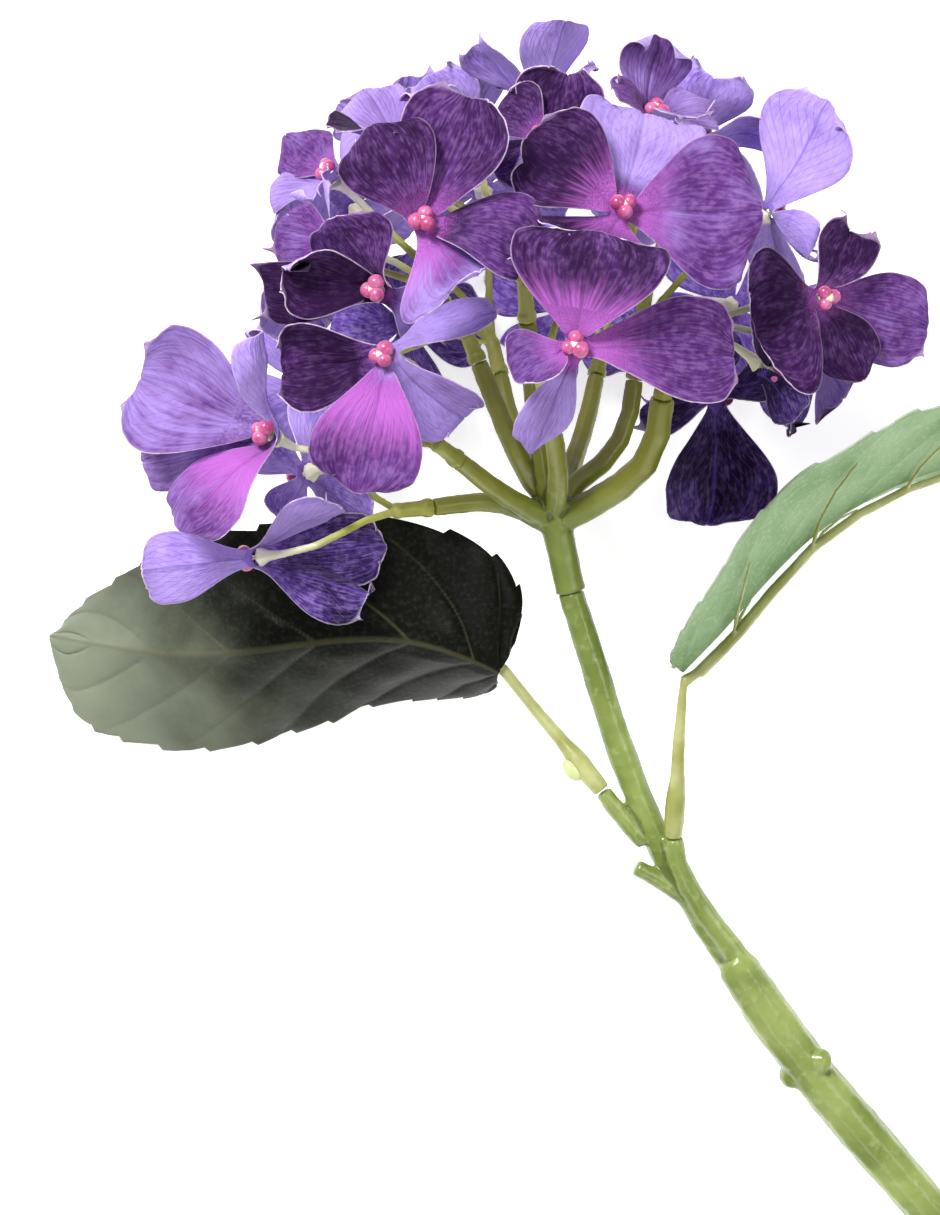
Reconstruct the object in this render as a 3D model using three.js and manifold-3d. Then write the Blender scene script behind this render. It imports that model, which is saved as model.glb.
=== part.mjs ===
// Artificial hydrangea stem, lying on its side: a domed head of dyed fabric florets on moulded
// plastic sprays, an umbel that holds the sprays, a moulded main stem, and two fabric leaves.
// Millimetres, +Z up. The stem lies along -Y, the head faces +Y, and everything rests on z = 0.
import * as THREE from 'three'
import Module from 'manifold-3d'
import { mergeVertices } from 'three/addons/utils/BufferGeometryUtils.js'

// ---------- driving dimensions ----------

const CLEARANCE = 0.3          // gap between pieces that touch

const PETAL_THICKNESS = 0.6    // fabric of a floret
const PETAL_SIZE = 1           // scale of every petal about its floret's middle
const HOLE_RADIUS = 1.3        // hole in the middle of a floret, which the neck passes
const FUSED_RADIUS = 2.8       // radius inside which the four petals are one piece

const STALK_RADIUS = 0.95      // prong of a spray
const CALYX_RADIUS = 1.6       // flared end of a prong, under the petals
const CALYX_LENGTH = 9
const CALYX_GAP = 0.8          // the calyx stops short of the petals by this and the clearance
const BEAD_GAP = 0.8           // the bead stands this far over the petals
const NECK_RADIUS = 0.6        // pin that passes the petals' hole
const BEAD_RADIUS = 1.75       // bead that holds the petals on
const SPRAY_RADIUS = 1.9       // foot of a spray, where it meets its branch
const SPRAY_LENGTH = 8         // from the foot to the point where the prongs part

const BRANCH_RADIUS = 2.1      // branch of the umbel at its end
const THICK_BRANCH = 1.35      // how much thicker the strongest branch is
const THICK_BRANCH_NAME = 'right'
const COLLAR_RADIUS = 3.6      // sleeve of the umbel, over the stem's spigot
const COLLAR_LENGTH = 17
const SPIGOT_RADIUS = 2.1      // top of the stem, inside the sleeve
const SPIGOT_LENGTH = 10

const STEM_RADIUS = 3          // upper strand of the main stem
const LOWER_RADIUS = 5.4       // thick lower stem
const PEG_RADIUS = 2           // pegs that the leaves are glued to

const LEAF_THICKNESS = 0.8
const LEAF_WIDTH = 27          // from the midrib to the edge
const RIB_GAP = 0.7            // glue between a leaf and its ribs
const RIB_RADIUS = 1.5         // moulded midrib at the leaf's foot
const VEIN_RADIUS = 0.6
const PETIOLE_RADIUS = 1.4

// ---------- materials ----------

const finish = (color, roughness) => new THREE.MeshStandardMaterial({ color, roughness, metalness: 0 })
const petalFabric = finish(0x6a3f8c, 0.85)
const sprayPlastic = finish(0xb5b65c, 0.45)
const stemPlastic = finish(0x7f9d4e, 0.4)
const ribPlastic = finish(0xc8ca70, 0.45)
const leafFabric = finish(0x44523f, 0.6)

// ---------- helpers ----------

const wasm = await Module()
wasm.setup()

const v = (x, y, z) => new THREE.Vector3(x, y, z)
const at = p => v(...p)
const mix = (a, b, t) => a + (b - a) * t

// A closed solid from a geometry, for joins and cuts.
function solid(geometry) {
  const bare = new THREE.BufferGeometry().setAttribute('position', geometry.getAttribute('position'))
  if (geometry.index) bare.setIndex(geometry.index)
  const merged = mergeVertices(bare, 1e-4)
  const vertProperties = merged.attributes.position.array
  const triVerts = new Uint32Array(merged.index.array)
  return new wasm.Manifold(new wasm.Mesh({ numProp: 3, vertProperties, triVerts }))
}

function geometryOf(manifold) {
  const { vertProperties, triVerts } = manifold.getMesh()
  const geometry = new THREE.BufferGeometry()
  geometry.setAttribute('position', new THREE.BufferAttribute(vertProperties, 3))
  geometry.setIndex(new THREE.BufferAttribute(triVerts, 1))
  geometry.computeVertexNormals()
  return geometry
}

const joined = parts => parts.slice(1).reduce((whole, part) => whole.add(part), parts[0])

// A turned rod bent along a curve. Each station is [share of the curve's length, radius].
function rod(curve, stations, sides) {
  const length = curve.getLength()
  const profile = stations.map(([share, radius]) => new THREE.Vector2(radius, share * length))
  profile.unshift(new THREE.Vector2(0, profile[0].y))
  profile.push(new THREE.Vector2(0, profile.at(-1).y))
  const geometry = new THREE.LatheGeometry(profile, sides)
  const steps = 60
  const { normals, binormals } = curve.computeFrenetFrames(steps)
  const position = geometry.getAttribute('position')
  for (let i = 0; i < position.count; i++) {
    const share = Math.min(1, Math.max(0, position.getY(i) / length))
    const step = Math.round(share * steps)
    const point = curve.getPointAt(share)
    point.addScaledVector(normals[step], position.getX(i))
    point.addScaledVector(binormals[step], position.getZ(i))
    position.setXYZ(i, point.x, point.y, point.z)
  }
  const made = solid(geometry)
  return made.volume() < 0 ? flipped(geometry) : made
}

function flipped(geometry) {
  const index = geometry.index.array
  for (let i = 0; i < index.length; i += 3) [index[i], index[i + 1]] = [index[i + 1], index[i]]
  return solid(geometry)
}

const through = points => new THREE.CatmullRomCurve3(points.map(at), false, 'centripetal')
const evenly = (count, radius) => Array.from({ length: count }, (_, i) => i / (count - 1))
  .map(share => [share, radius(share)])

function ball(centre, radius) {
  return solid(new THREE.SphereGeometry(radius, 7, 5).translate(...centre))
}

// ---------- florets ----------

// Each floret: its middle, the way it faces, and its four petals. A petal's first three numbers
// lead from the middle to its tip; then come its width, its turn about its own length (degrees),
// its curl (degrees, + curls the tip to the front) and its cup (how far the sides rise).
const plain = (to, width) => [...to, width, 0, -18, 1]

const FLORETS = {
  floret_front_top: {
    spray: 'top', at: [-28, 60, 116], faces: [-0.25, 0.3, 0.92],
    petals: [[-12, 21, 0, 20, 0, -20, 2], [10, 26, -4, 24, 0, -25, 2], [23, -5, -9, 20, 0, -25, 1],
      [8, -9, 13, 34, 0, 115, 0]],
  },
  floret_front_left: {
    spray: 'upper_left', at: [-38, 47, 104], faces: [-0.5, 0.1, 0.85],
    petals: [[-7, 16, 5, 19, 0, -20, 2], [-20, 6, -3, 17, 25, -10, 3], [-25, 0, 3, 12, 50, 10, 2],
      [15, -5, -13, 16, 0, -20, 0]],
  },
  floret_left_upper: {
    spray: 'upper_left', at: [-47, 59, 86], faces: [-0.75, 0.2, 0.6],
    petals: [[-14, 4, -4, 14, 0, -20, 1], [-2, 14, 8, 14, 30, 0, 2], [-8, -14, 0, 16, 0, -30, 1],
      [12, 6, -12, 16, 0, -20, 0]],
  },
  floret_left_crest: {
    spray: 'upper_left', at: [-49, 75, 70], faces: [-0.65, 0.6, 0.45],
    petals: [[-14, -2, -8, 15, 0, -20, 1], [-8, 7, -14, 14, 0, -20, 1], [-4, -7, 9, 12, 0, -20, 1],
      [7, 9, 7, 14, 0, -20, 1]],
  },
  floret_crest_left: {
    spray: 'top', at: [-34, 79, 94], faces: [-0.4, 0.6, 0.7],
    petals: [[-15, 3, 5, 13, -25, -15, 3], [-8, 14, -13, 14, 0, -20, 1], [8, 10, -4, 15, 0, -20, 1],
      [1, -10, -4, 13, 0, -10, 1]],
  },
  floret_crest: {
    spray: 'top', at: [-3, 80, 98], faces: [0, 0.5, 0.85],
    petals: [[5, 14, -6, 19, 0, -25, 2], [-11, 8, -4, 16, 0, -15, 1], [-10, -8, 0, 15, 0, -20, 0],
      [10, -6, -2, 15, 0, -20, 0]],
  },
  floret_tip: {
    spray: 'top', at: [-4, 91, 68], faces: [-0.05, 1, 0.05],
    petals: [[-14, 13, 4, 16, 0, 15, 2], [6, 17, 13, 17, 0, 20, 2], [-3, 14, -14, 16, 0, 10, 2],
      [13, 9, -4, 13, 0, -10, 1]],
  },
  floret_crest_right: {
    spray: 'right_back', at: [21, 87, 74], faces: [0.3, 0.75, 0.5],
    petals: [[2, 18, -4, 17, 0, -15, 2], [-9, 6, 8, 13, 0, -15, 1], [9, -2, 12, 14, 0, -25, 1],
      [15, 4, -8, 14, 0, -20, 1]],
  },
  floret_front_right: {
    spray: 'front', at: [13, 64, 108], faces: [0.15, 0.2, 0.95],
    petals: [[-20, 15, 0, 23, 0, -20, 2], [6, 24, -13, 27, 0, -14, 2], [28, -1, -4, 32, 0, -22, 2],
      [-3, -8, 13, 28, 0, 115, 0]],
  },
  floret_front_low: {
    spray: 'front', at: [3, 34, 122], faces: [-0.1, 0.15, 0.98], over: 4,
    petals: [[4, 26, -6, 32, 0, -20, 3], [34, -1, -10, 22, 0, -25, 2], [-13, -6, 4, 15, -25, 5, 3],
      [-10, -20, -14, 12, 50, -10, 2]],
  },
  floret_right: {
    spray: 'right', at: [57, 47, 86], faces: [0.45, -0.05, 0.85],
    petals: [[-15, -8, 8, 33, 0, -15, 3], [26, -6, -12, 20, 0, -18, 1], [6, 15, -8, 14, 0, -15, 1],
      [7, -15, -12, 14, 0, -15, 1]],
  },
  floret_left_front: {
    spray: 'left_high', at: [-36, 33, 105], faces: [-0.6, 0.15, 0.75], over: 8,
    petals: [[-24, -3, -8, 19, 0, 10, 4], [-7, -29, 5, 22, 40, -10, 3], [23, 9, -10, 14, 30, -10, 1],
      [16, -15, -9, 16, 0, -10, 1]],
  },
  floret_left: {
    spray: 'left_high', at: [-62, 17, 90], faces: [-0.65, 0.3, 0.7],
    petals: [[-29, 13, -12, 28, 0, -20, 3], [-30, -5, -22, 15, 20, -10, 2], [-18, -21, 3, 22, 0, -10, 2],
      [-2, 22, 12, 14, 50, 0, 3]],
  },
  floret_left_low: {
    spray: 'left_low', at: [-66, -9, 76], faces: [-0.85, -0.1, -0.5],
    petals: [[-24, -3, 10, 15, 0, -10, 3], [19, 12, 8, 13, 0, -15, 2], [29, 3, -14, 15, 0, -15, 2],
      [25, -9, 4, 15, 0, -10, 2]],
  },
  floret_left_rim: {
    spray: 'upper_left', at: [-54, 58, 54], faces: [-0.85, 0.15, -0.5],
    petals: [plain([-5, 15, 10], 19), plain([-8, -16, 12], 15), plain([-2, -17, -12], 18),
      plain([6, 12, -16], 17)],
  },
  floret_crown_left: {
    spray: 'top', at: [-35, 86, 52], faces: [-0.5, 0.75, -0.4],
    petals: [plain([-13, 5, 7], 14), plain([2, 12, 8], 15), plain([12, 5, -6], 16),
      plain([-4, -6, -17], 16)],
  },
  floret_crown: {
    spray: 'top', at: [-18, 89, 50], faces: [-0.1, 0.9, -0.4],
    petals: [[-10, 8, 12, 17, 0, 10, 3], [5, 7, 14, 15, 0, 10, 3], plain([13, 2, -12], 16),
      plain([-8, -4, -16], 16)],
  },
  floret_crown_right: {
    spray: 'right_back', at: [32, 86, 48], faces: [0.35, 0.8, -0.4],
    petals: [plain([3, 11, 12], 20), plain([17, 1, 2], 15), plain([-12, 6, -10], 16),
      plain([4, -8, -18], 17)],
  },
  floret_right_rim: {
    spray: 'right_back', at: [48, 68, 58], faces: [0.75, 0.5, -0.3],
    petals: [[12, 24, 6, 26, 0, -10, 2], [6, -12, 18, 14, 0, 10, 3], plain([-10, 14, -16], 18),
      plain([2, -16, -16], 18)],
  },
  floret_left_under: {
    spray: 'left_low', at: [-56, 10, 52], faces: [-0.75, -0.2, -0.6],
    petals: [[16, -10, -14, 15, 0, -15, 1], [-4, -14, 9, 15, 0, -15, 1], plain([-12, 13, 14], 18),
      plain([6, 16, -14], 18)],
  },
  floret_right_under: {
    spray: 'right', at: [36.5, 27.5, 49.6], faces: [0.45, -0.5, -0.7],
    petals: [[-1, -30, 3, 28, 0, -12, 2], plain([-17, -2, -11], 15), plain([-3, 15, -11], 16),
      plain([18, 8, 6], 15)],
  },
  floret_right_small: {
    spray: 'right', at: [46, 33, 70], faces: [0.75, -0.5, -0.2],
    petals: [[6, -12, 5, 10, 20, -10, 1], [8, -14, -10, 10, 20, -10, 1], [8, 14, -8, 12, 20, -10, 1],
      [-2, 13, 13, 11, 20, -10, 1]],
  },
}

// The side that the flower lies on: florets that face the surface, each with four like petals.
const UNDERSIDE = {
  floret_under_left: { spray: 'back_left', at: [-34, 46, 15], faces: [-0.25, -0.1, -0.95] },
  floret_under_middle: { spray: 'back_right', at: [4, 50, 12], faces: [0, 0, -1] },
  floret_under_right: { spray: 'back_right', at: [42, 50, 17], faces: [0.35, -0.1, -0.9] },
  floret_under_crest: { spray: 'back_left', at: [-16, 77, 20], faces: [-0.1, 0.45, -0.85] },
  floret_under_crown: { spray: 'back_right', at: [24, 80, 26], faces: [0.25, 0.55, -0.75] },
  floret_under_rim: { spray: 'back_left', at: [-55, 30, 27], faces: [-0.6, -0.2, -0.75] },
  floret_under_far: { spray: 'back_left', at: [-46, 72, 30], faces: [-0.55, 0.45, -0.65] },
  floret_under_near: { spray: 'right', at: [60, 38, 42], faces: [0.75, -0.2, -0.6] },
}
const UNDERSIDE_REACH = 19
const UNDERSIDE_WIDTH = 19

Object.values(UNDERSIDE).forEach((floret, number) => {
  const axis = at(floret.faces).normalize()
  const side = v(0, 1, 0).cross(axis).normalize()
  const up = axis.clone().cross(side)
  floret.petals = [0, 1, 2, 3].map(k => {
    const angle = (k + 0.35 * number) * Math.PI / 2
    const reach = UNDERSIDE_REACH * (1 + 0.08 * Math.sin(5 * k + number))
    const tip = side.clone().multiplyScalar(reach * Math.cos(angle))
    tip.addScaledVector(up, reach * Math.sin(angle)).addScaledVector(axis, -3)
    return plain(tip.toArray(), UNDERSIDE_WIDTH)
  })
})
const ALL_FLORETS = { ...FLORETS, ...UNDERSIDE }

// A floret's middle surface is a hole ring, a fused ring, and four petals of four rows of three
// points. Each row is [share of the petal's length, share of its width].
const RING = 8
const PETAL_ROWS = [[0.3, 0.54], [0.58, 1], [0.85, 0.94], [1, 0.5]]
const ROW_POINTS = 3
const PETAL_POINTS = PETAL_ROWS.length * ROW_POINTS
const FLORET_POINTS = 2 * RING + 4 * PETAL_POINTS

const petalStart = k => 2 * RING + k * PETAL_POINTS
const rowPoint = (k, row, column) => (row < 0
  ? RING + (2 * k + column) % RING
  : petalStart(k) + row * ROW_POINTS + column)

// Corners of every face of the middle surface, seen from the front of the floret.
const FLORET_QUADS = []
for (let i = 0; i < RING; i++) {
  FLORET_QUADS.push([i, RING + i, RING + (i + 1) % RING, (i + 1) % RING])
}
for (let k = 0; k < 4; k++) {
  for (let row = 0; row < PETAL_ROWS.length; row++) {
    for (let column = 0; column < ROW_POINTS - 1; column++) {
      FLORET_QUADS.push([rowPoint(k, row - 1, column), rowPoint(k, row, column),
        rowPoint(k, row, column + 1), rowPoint(k, row - 1, column + 1)])
    }
  }
}
const RING_QUADS = RING
const PETAL_QUADS = PETAL_ROWS.length * (ROW_POINTS - 1)

// The middle surface of one floret, before the florets are settled against each other.
function shapeFloret(floret) {
  const centre = at(floret.at)
  const axis = at(floret.faces).normalize()
  const level = Math.abs(axis.y) < 0.9 ? v(0, 1, 0) : v(0, 0, 1)
  const east = level.cross(axis).normalize()
  const north = axis.clone().cross(east)
  const angleOf = p => Math.atan2(at(p).dot(north), at(p).dot(east))
  const petals = floret.petals.slice().sort((p, q) => angleOf(p) - angleOf(q))
  let start = 0
  petals.forEach((p, k) => {
    const off = angleOf(p) - k * Math.PI / 2
    start += Math.atan2(Math.sin(off - angleOf(petals[0])), Math.cos(off - angleOf(petals[0]))) / 4
  })
  start += angleOf(petals[0]) - Math.PI / 4
  const points = []
  for (const radius of [HOLE_RADIUS, FUSED_RADIUS]) {
    for (let i = 0; i < RING; i++) {
      const angle = start + i * 2 * Math.PI / RING
      points.push(centre.clone().addScaledVector(east, radius * Math.cos(angle))
        .addScaledVector(north, radius * Math.sin(angle)))
    }
  }
  petals.forEach(([x, y, z, width, turn, curl, cup]) => {
    const chord = v(x, y, z).multiplyScalar(PETAL_SIZE)
    const along = chord.clone().normalize()
    const front = axis.clone().addScaledVector(along, -axis.dot(along)).normalize()
    const side = front.clone().cross(along)
    front.applyAxisAngle(along, -turn * Math.PI / 180)
    side.applyAxisAngle(along, -turn * Math.PI / 180)
    const bend = (Math.abs(curl) < 1 ? 1 : curl) * Math.PI / 180
    const radius = chord.length() / (2 * Math.sin(bend / 2))
    PETAL_ROWS.forEach(([share, broad], row) => {
      const angle = bend * (share - 0.5)
      const run = radius * (Math.sin(angle) + Math.sin(bend / 2))
      const rise = radius * (Math.cos(bend / 2) - Math.cos(angle))
      const lift = front.clone().multiplyScalar(Math.cos(angle)).addScaledVector(along, -Math.sin(angle))
      for (let column = 0; column < ROW_POINTS; column++) {
        const across = column - 1
        const back = row === PETAL_ROWS.length - 1 ? -0.07 * across * across * chord.length() : 0
        points.push(centre.clone().addScaledVector(along, run + back).addScaledVector(front, rise)
          .addScaledVector(side, across * broad * width * PETAL_SIZE / 2)
          .addScaledVector(lift, cup * across * across * broad))
      }
    })
  })
  return points
}

// ---------- sprays: the moulded prongs that carry the florets ----------

// Each branch of the umbel, from the hub to the foot of its spray.
const BRANCHES = {
  left_low: [[-2, -1, 58], [-8, 2, 60], [-14.5, 3.5, 62], [-27, 2.2, 66]],
  left_high: [[-2, 0, 59], [-7, 2.5, 63], [-12.5, 5.5, 69], [-21.5, 12, 82]],
  upper_left: [[-1, 3, 58], [-4.5, 7, 60], [-10, 17, 65], [-17, 34, 68]],
  top: [[-1, 3, 59], [-3, 14, 66], [-5.5, 30, 76], [-6.5, 42, 82]],
  front: [[0, 2, 60], [0.5, 7, 68], [0, 13, 77], [-2.5, 24, 91]],
  right: [[2, 0, 58], [10, 4, 63], [18.5, 10.3, 70], [21.8, 17, 74], [23, 25.5, 78]],
  right_back: [[1, 3, 57], [4, 7, 55], [10.5, 12, 54], [16, 20, 52], [18, 31, 51]],
  back_left: [[-1, 3, 56], [-6, 12, 46], [-10, 24, 38], [-12, 33, 34]],
  back_right: [[0, 3, 55], [4, 12, 44], [8, 24, 35], [10, 33, 31]],
}

const branchCurve = name => through(BRANCHES[name])
const branchRadius = name => BRANCH_RADIUS * (name === THICK_BRANCH_NAME ? THICK_BRANCH : 1)

function branchEnd(name) {
  const curve = branchCurve(name)
  return { point: curve.getPointAt(1), along: curve.getTangentAt(1) }
}

// A prong: from the fork of its spray to the back of its floret, then neck and bead.
function prongCurve(floret) {
  const { point, along } = branchEnd(floret.spray)
  const fork = point.clone().addScaledVector(along, CLEARANCE + SPRAY_LENGTH)
  const axis = at(floret.faces).normalize()
  const tip = at(floret.at).addScaledVector(axis, BEAD_RADIUS * 2.1 + PETAL_THICKNESS / 2)
  const calyx = at(floret.at).addScaledVector(axis, -CALYX_LENGTH - PETAL_THICKNESS / 2 - CLEARANCE)
  const reach = calyx.distanceTo(fork)
  const path = new THREE.CurvePath()
  const rise = fork.clone().addScaledVector(along, reach * 0.3)
  const approach = calyx.clone().addScaledVector(axis, -reach * 0.35)
  path.add(new THREE.CubicBezierCurve3(fork, rise, approach, calyx))
  path.add(new THREE.LineCurve3(calyx, tip))
  return { path, stalk: path.curves[0].getLength(), whole: path.getLength() }
}

class Joined extends THREE.Curve {
  constructor(path) {
    super()
    this.path = path
  }

  getPoint(t, target = new THREE.Vector3()) {
    return target.copy(this.path.getPoint(t))
  }
}

const STEP = 0.01   // run of a sharp shoulder on a turned rod

function prong(floret) {
  const { path, stalk, whole } = prongCurve(floret)
  const top = stalk + CALYX_LENGTH - CALYX_GAP
  const neckEnd = stalk + CALYX_LENGTH + CLEARANCE + PETAL_THICKNESS + BEAD_GAP
  const reach = [
    [0, STALK_RADIUS * 1.1], [stalk * 0.3, STALK_RADIUS], [stalk * 0.55, STALK_RADIUS],
    [stalk * 0.8, STALK_RADIUS], [stalk + CALYX_LENGTH * 0.2, STALK_RADIUS],
    [stalk + CALYX_LENGTH * 0.65, CALYX_RADIUS * 0.62], [top, CALYX_RADIUS],
    [top + STEP, NECK_RADIUS], [neckEnd, NECK_RADIUS], [neckEnd + STEP, BEAD_RADIUS * 0.7],
    [neckEnd + 0.5 * (whole - neckEnd), BEAD_RADIUS], [whole, BEAD_RADIUS * 0.5],
  ]
  return rod(new Joined(path), reach.map(([length, radius]) => [length / whole, radius]), 5)
}

function spray(name) {
  const { point, along } = branchEnd(name)
  const foot = point.clone().addScaledVector(along, CLEARANCE)
  const fork = foot.clone().addScaledVector(along, SPRAY_LENGTH)
  const trunk = rod(new THREE.LineCurve3(foot, fork.clone().addScaledVector(along, 1)), [
    [0, SPRAY_RADIUS * 1.2], [0.2, SPRAY_RADIUS * 1.2], [0.21, SPRAY_RADIUS], [1, SPRAY_RADIUS * 0.9]], 7)
  const prongs = Object.values(ALL_FLORETS).filter(floret => floret.spray === name).map(prong)
  return joined([trunk, ball(fork.toArray(), SPRAY_RADIUS), ...prongs])
}

// ---------- settling: petals give way to stalks and to each other ----------

const HEAD_CENTRE = v(2, 42, 58)          // the florets are layered outwards from here
const HEAD_SPREAD = v(1.25, 1, 1)         // the head is wider than it is deep
const SETTLE_GAP = PETAL_THICKNESS + 0.7  // between the middle surfaces of two petals
const SETTLE_DEPTH = 6                    // deepest crossing that is undone
const SETTLE_ROUNDS = 110

function layerOf(floret) {
  const reach = at(floret.at).sub(HEAD_CENTRE).divide(HEAD_SPREAD)
  return reach.length() + (floret.over || 0)
}

function settle(florets) {
  const list = Object.values(florets)
  const points = list.flatMap(shapeFloret)
  const home = points.map(p => p.clone())
  const fixed = points.map((_, i) => i % FLORET_POINTS < 2 * RING)
  const links = []
  const link = (a, b, stiffness) => links.push([a, b, points[a].distanceTo(points[b]), stiffness])
  const petals = []
  list.forEach((floret, f) => {
    const base = f * FLORET_POINTS
    const axis = at(floret.faces).normalize()
    for (let k = 0; k < 4; k++) {
      const id = (row, column) => base + rowPoint(k, row, column)
      for (let row = -1; row < PETAL_ROWS.length; row++) {
        for (let column = 0; column < ROW_POINTS; column++) {
          if (column + 1 < ROW_POINTS) link(id(row, column), id(row, column + 1), 0.8)
          if (row + 1 < PETAL_ROWS.length) {
            link(id(row, column), id(row + 1, column), 0.8)
            if (column + 1 < ROW_POINTS) {
              link(id(row, column), id(row + 1, column + 1), 0.5)
              link(id(row, column + 1), id(row + 1, column), 0.5)
            }
          }
          if (row + 2 < PETAL_ROWS.length) link(id(row, column), id(row + 2, column), 0.35)
          if (column === 0) link(id(row, 0), id(row, 2), 0.35)
        }
      }
      const quads = FLORET_QUADS.slice(RING_QUADS + k * PETAL_QUADS, RING_QUADS + (k + 1) * PETAL_QUADS)
      const faces = quads.map(quad => quad.map(i => i + base))
        .flatMap(([a, b, c, d]) => [[a, b, c], [a, c, d]])
      const samples = []
      for (let i = 0; i < PETAL_POINTS; i++) samples.push([base + petalStart(k) + i])
      quads.forEach(quad => {
        const q = quad.map(i => i + base)
        samples.push(q, [q[0], q[1]], [q[1], q[2]], [q[2], q[3]], [q[0], q[2]], [q[1], q[3]])
      })
      petals.push({ f, k, faces, samples, axis, layer: layerOf(floret), centre: v(0, 0, 0), radius: 0 })
    }
  })

  // Which side of each face is outwards: away from the head, or to the front of its own floret.
  const a = v(0, 0, 0)
  const b = v(0, 0, 0)
  const normalOf = ([i, j, k], target) => {
    a.subVectors(points[j], points[i])
    b.subVectors(points[k], points[i])
    return target.crossVectors(a, b).normalize()
  }
  petals.forEach(petal => {
    petal.outwards = petal.faces.map(face => {
      const radial = points[face[0]].clone().sub(HEAD_CENTRE).divide(HEAD_SPREAD)
      return Math.sign(normalOf(face, v(0, 0, 0)).dot(radial)) || 1
    })
    petal.frontwards = petal.faces.map(face => Math.sign(normalOf(face, v(0, 0, 0)).dot(petal.axis)) || 1)
  })

  // Hard samples: points along the prongs and branches, which petals lie outside of.
  const hard = []
  const own = []
  list.forEach((floret, f) => {
    const { path, stalk, whole } = prongCurve(floret)
    for (let length = 0; length < whole; length += 2.5) {
      const flare = Math.min(1, Math.max(0, (length - stalk) / CALYX_LENGTH))
      const point = v(0, 0, 0).copy(path.getPoint(length / whole))
      hard.push({ f, point, radius: mix(STALK_RADIUS, CALYX_RADIUS, flare) })
    }
    const axis = at(floret.faces).normalize()
    for (const height of [-1.5, 1.6, 3.2]) {
      own.push({ f, point: at(floret.at).addScaledVector(axis, height) })
    }
    for (let length = stalk - 14; length < stalk + CALYX_LENGTH - 2; length += 2) {
      own.push({ f, point: v(0, 0, 0).copy(path.getPoint(Math.max(0, length) / whole)) })
    }
  })
  Object.keys(BRANCHES).forEach(name => {
    const curve = branchCurve(name)
    for (let i = 0; i <= 12; i++) {
      hard.push({ f: -1, point: curve.getPointAt(i / 12), radius: branchRadius(name) })
    }
    const { point, along } = branchEnd(name)
    for (let i = 0; i <= 4; i++) {
      const trunk = point.clone().addScaledVector(along, i * SPRAY_LENGTH / 4)
      hard.push({ f: -1, point: trunk, radius: SPRAY_RADIUS })
    }
  })

  const normal = v(0, 0, 0)
  const offset = v(0, 0, 0)
  const spot = v(0, 0, 0)
  const weights = [0, 0, 0]

  // Height of a point over a face, where it lies over it; null where it doesn't.
  function over(point, face, margin) {
    normalOf(face, normal)
    offset.subVectors(point, points[face[0]])
    const height = offset.dot(normal)
    const d00 = a.dot(a)
    const d01 = a.dot(b)
    const d11 = b.dot(b)
    const d20 = offset.dot(a)
    const d21 = offset.dot(b)
    const whole = d00 * d11 - d01 * d01
    weights[1] = (d11 * d20 - d01 * d21) / whole
    weights[2] = (d00 * d21 - d01 * d20) / whole
    weights[0] = 1 - weights[1] - weights[2]
    if (Math.min(...weights) < -margin) return null
    return height
  }

  function push(ids, shares, by) {
    ids.forEach((id, i) => {
      if (!fixed[id]) points[id].addScaledVector(normal, by * shares[i])
    })
  }

  function separate(upper, lower, sides, depth, gap) {
    // Samples of the upper petal stay over the faces of the lower one.
    upper.samples.forEach(sample => {
      spot.set(0, 0, 0)
      sample.forEach(id => spot.add(points[id]))
      spot.divideScalar(sample.length)
      lower.faces.forEach((face, i) => {
        const height = over(spot, face, 0.06)
        if (height === null) return
        const side = sides(lower, i)
        const short = gap - height * side
        if (short <= 0 || short > gap + depth) return
        const by = 0.5 * short * side
        push(sample, sample.map(() => 1), by)
        push(face, weights.map(w => Math.max(0, w) * 1.5), -by)
        spot.addScaledVector(normal, by)
      })
    })
  }

  const outwards = (petal, i) => petal.outwards[i]
  const inwards = (petal, i) => -petal.outwards[i]
  const frontwards = (petal, i) => petal.frontwards[i]
  const backwards = (petal, i) => -petal.frontwards[i]

  for (let round = 0; round < SETTLE_ROUNDS; round++) {
    petals.forEach(petal => {
      petal.centre.set(0, 0, 0)
      const ids = [...new Set(petal.faces.flat())]
      ids.forEach(id => petal.centre.addScaledVector(points[id], 1 / ids.length))
      petal.radius = Math.max(...ids.map(id => points[id].distanceTo(petal.centre)))
    })
    petals.forEach((petal, i) => petals.slice(i + 1).forEach(other => {
      if (petal.centre.distanceTo(other.centre) > petal.radius + other.radius + SETTLE_GAP) return
      if (petal.f === other.f) {
        const [upper, lower] = petal.k % 2 ? [petal, other] : [other, petal]
        if ((petal.k - other.k) % 2 === 0) return
        separate(upper, lower, frontwards, 2.5, SETTLE_GAP)
        separate(lower, upper, backwards, 2.5, SETTLE_GAP)
        return
      }
      const [upper, lower] = petal.layer > other.layer ? [petal, other] : [other, petal]
      separate(upper, lower, outwards, SETTLE_DEPTH, SETTLE_GAP)
      separate(lower, upper, inwards, SETTLE_DEPTH, SETTLE_GAP)
    }))
    petals.forEach(petal => hard.forEach(({ f, point, radius }) => {
      if (f === petal.f || point.distanceTo(petal.centre) > petal.radius + radius + 1) return
      petal.faces.forEach((face, i) => {
        const height = over(point, face, 0.1)
        if (height === null) return
        const side = petal.outwards[i]
        const gap = radius + PETAL_THICKNESS / 2 + CLEARANCE
        const short = gap + height * side
        if (short <= 0 || short > gap + SETTLE_DEPTH) return
        push(face, weights.map(w => Math.max(0.15, w)), short * side)
      })
    }))
    petals.forEach(petal => own.forEach(({ f, point }) => {
      if (f !== petal.f) return
      petal.faces.forEach(face => {
        const height = over(point, face, 0.3)
        const short = CALYX_RADIUS + PETAL_THICKNESS / 2 + CLEARANCE - Math.abs(height)
        if (height === null || short <= 0) return
        push(face, weights.map(w => Math.max(0.15, w)), -short * Math.sign(height))
      })
    }))
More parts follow.
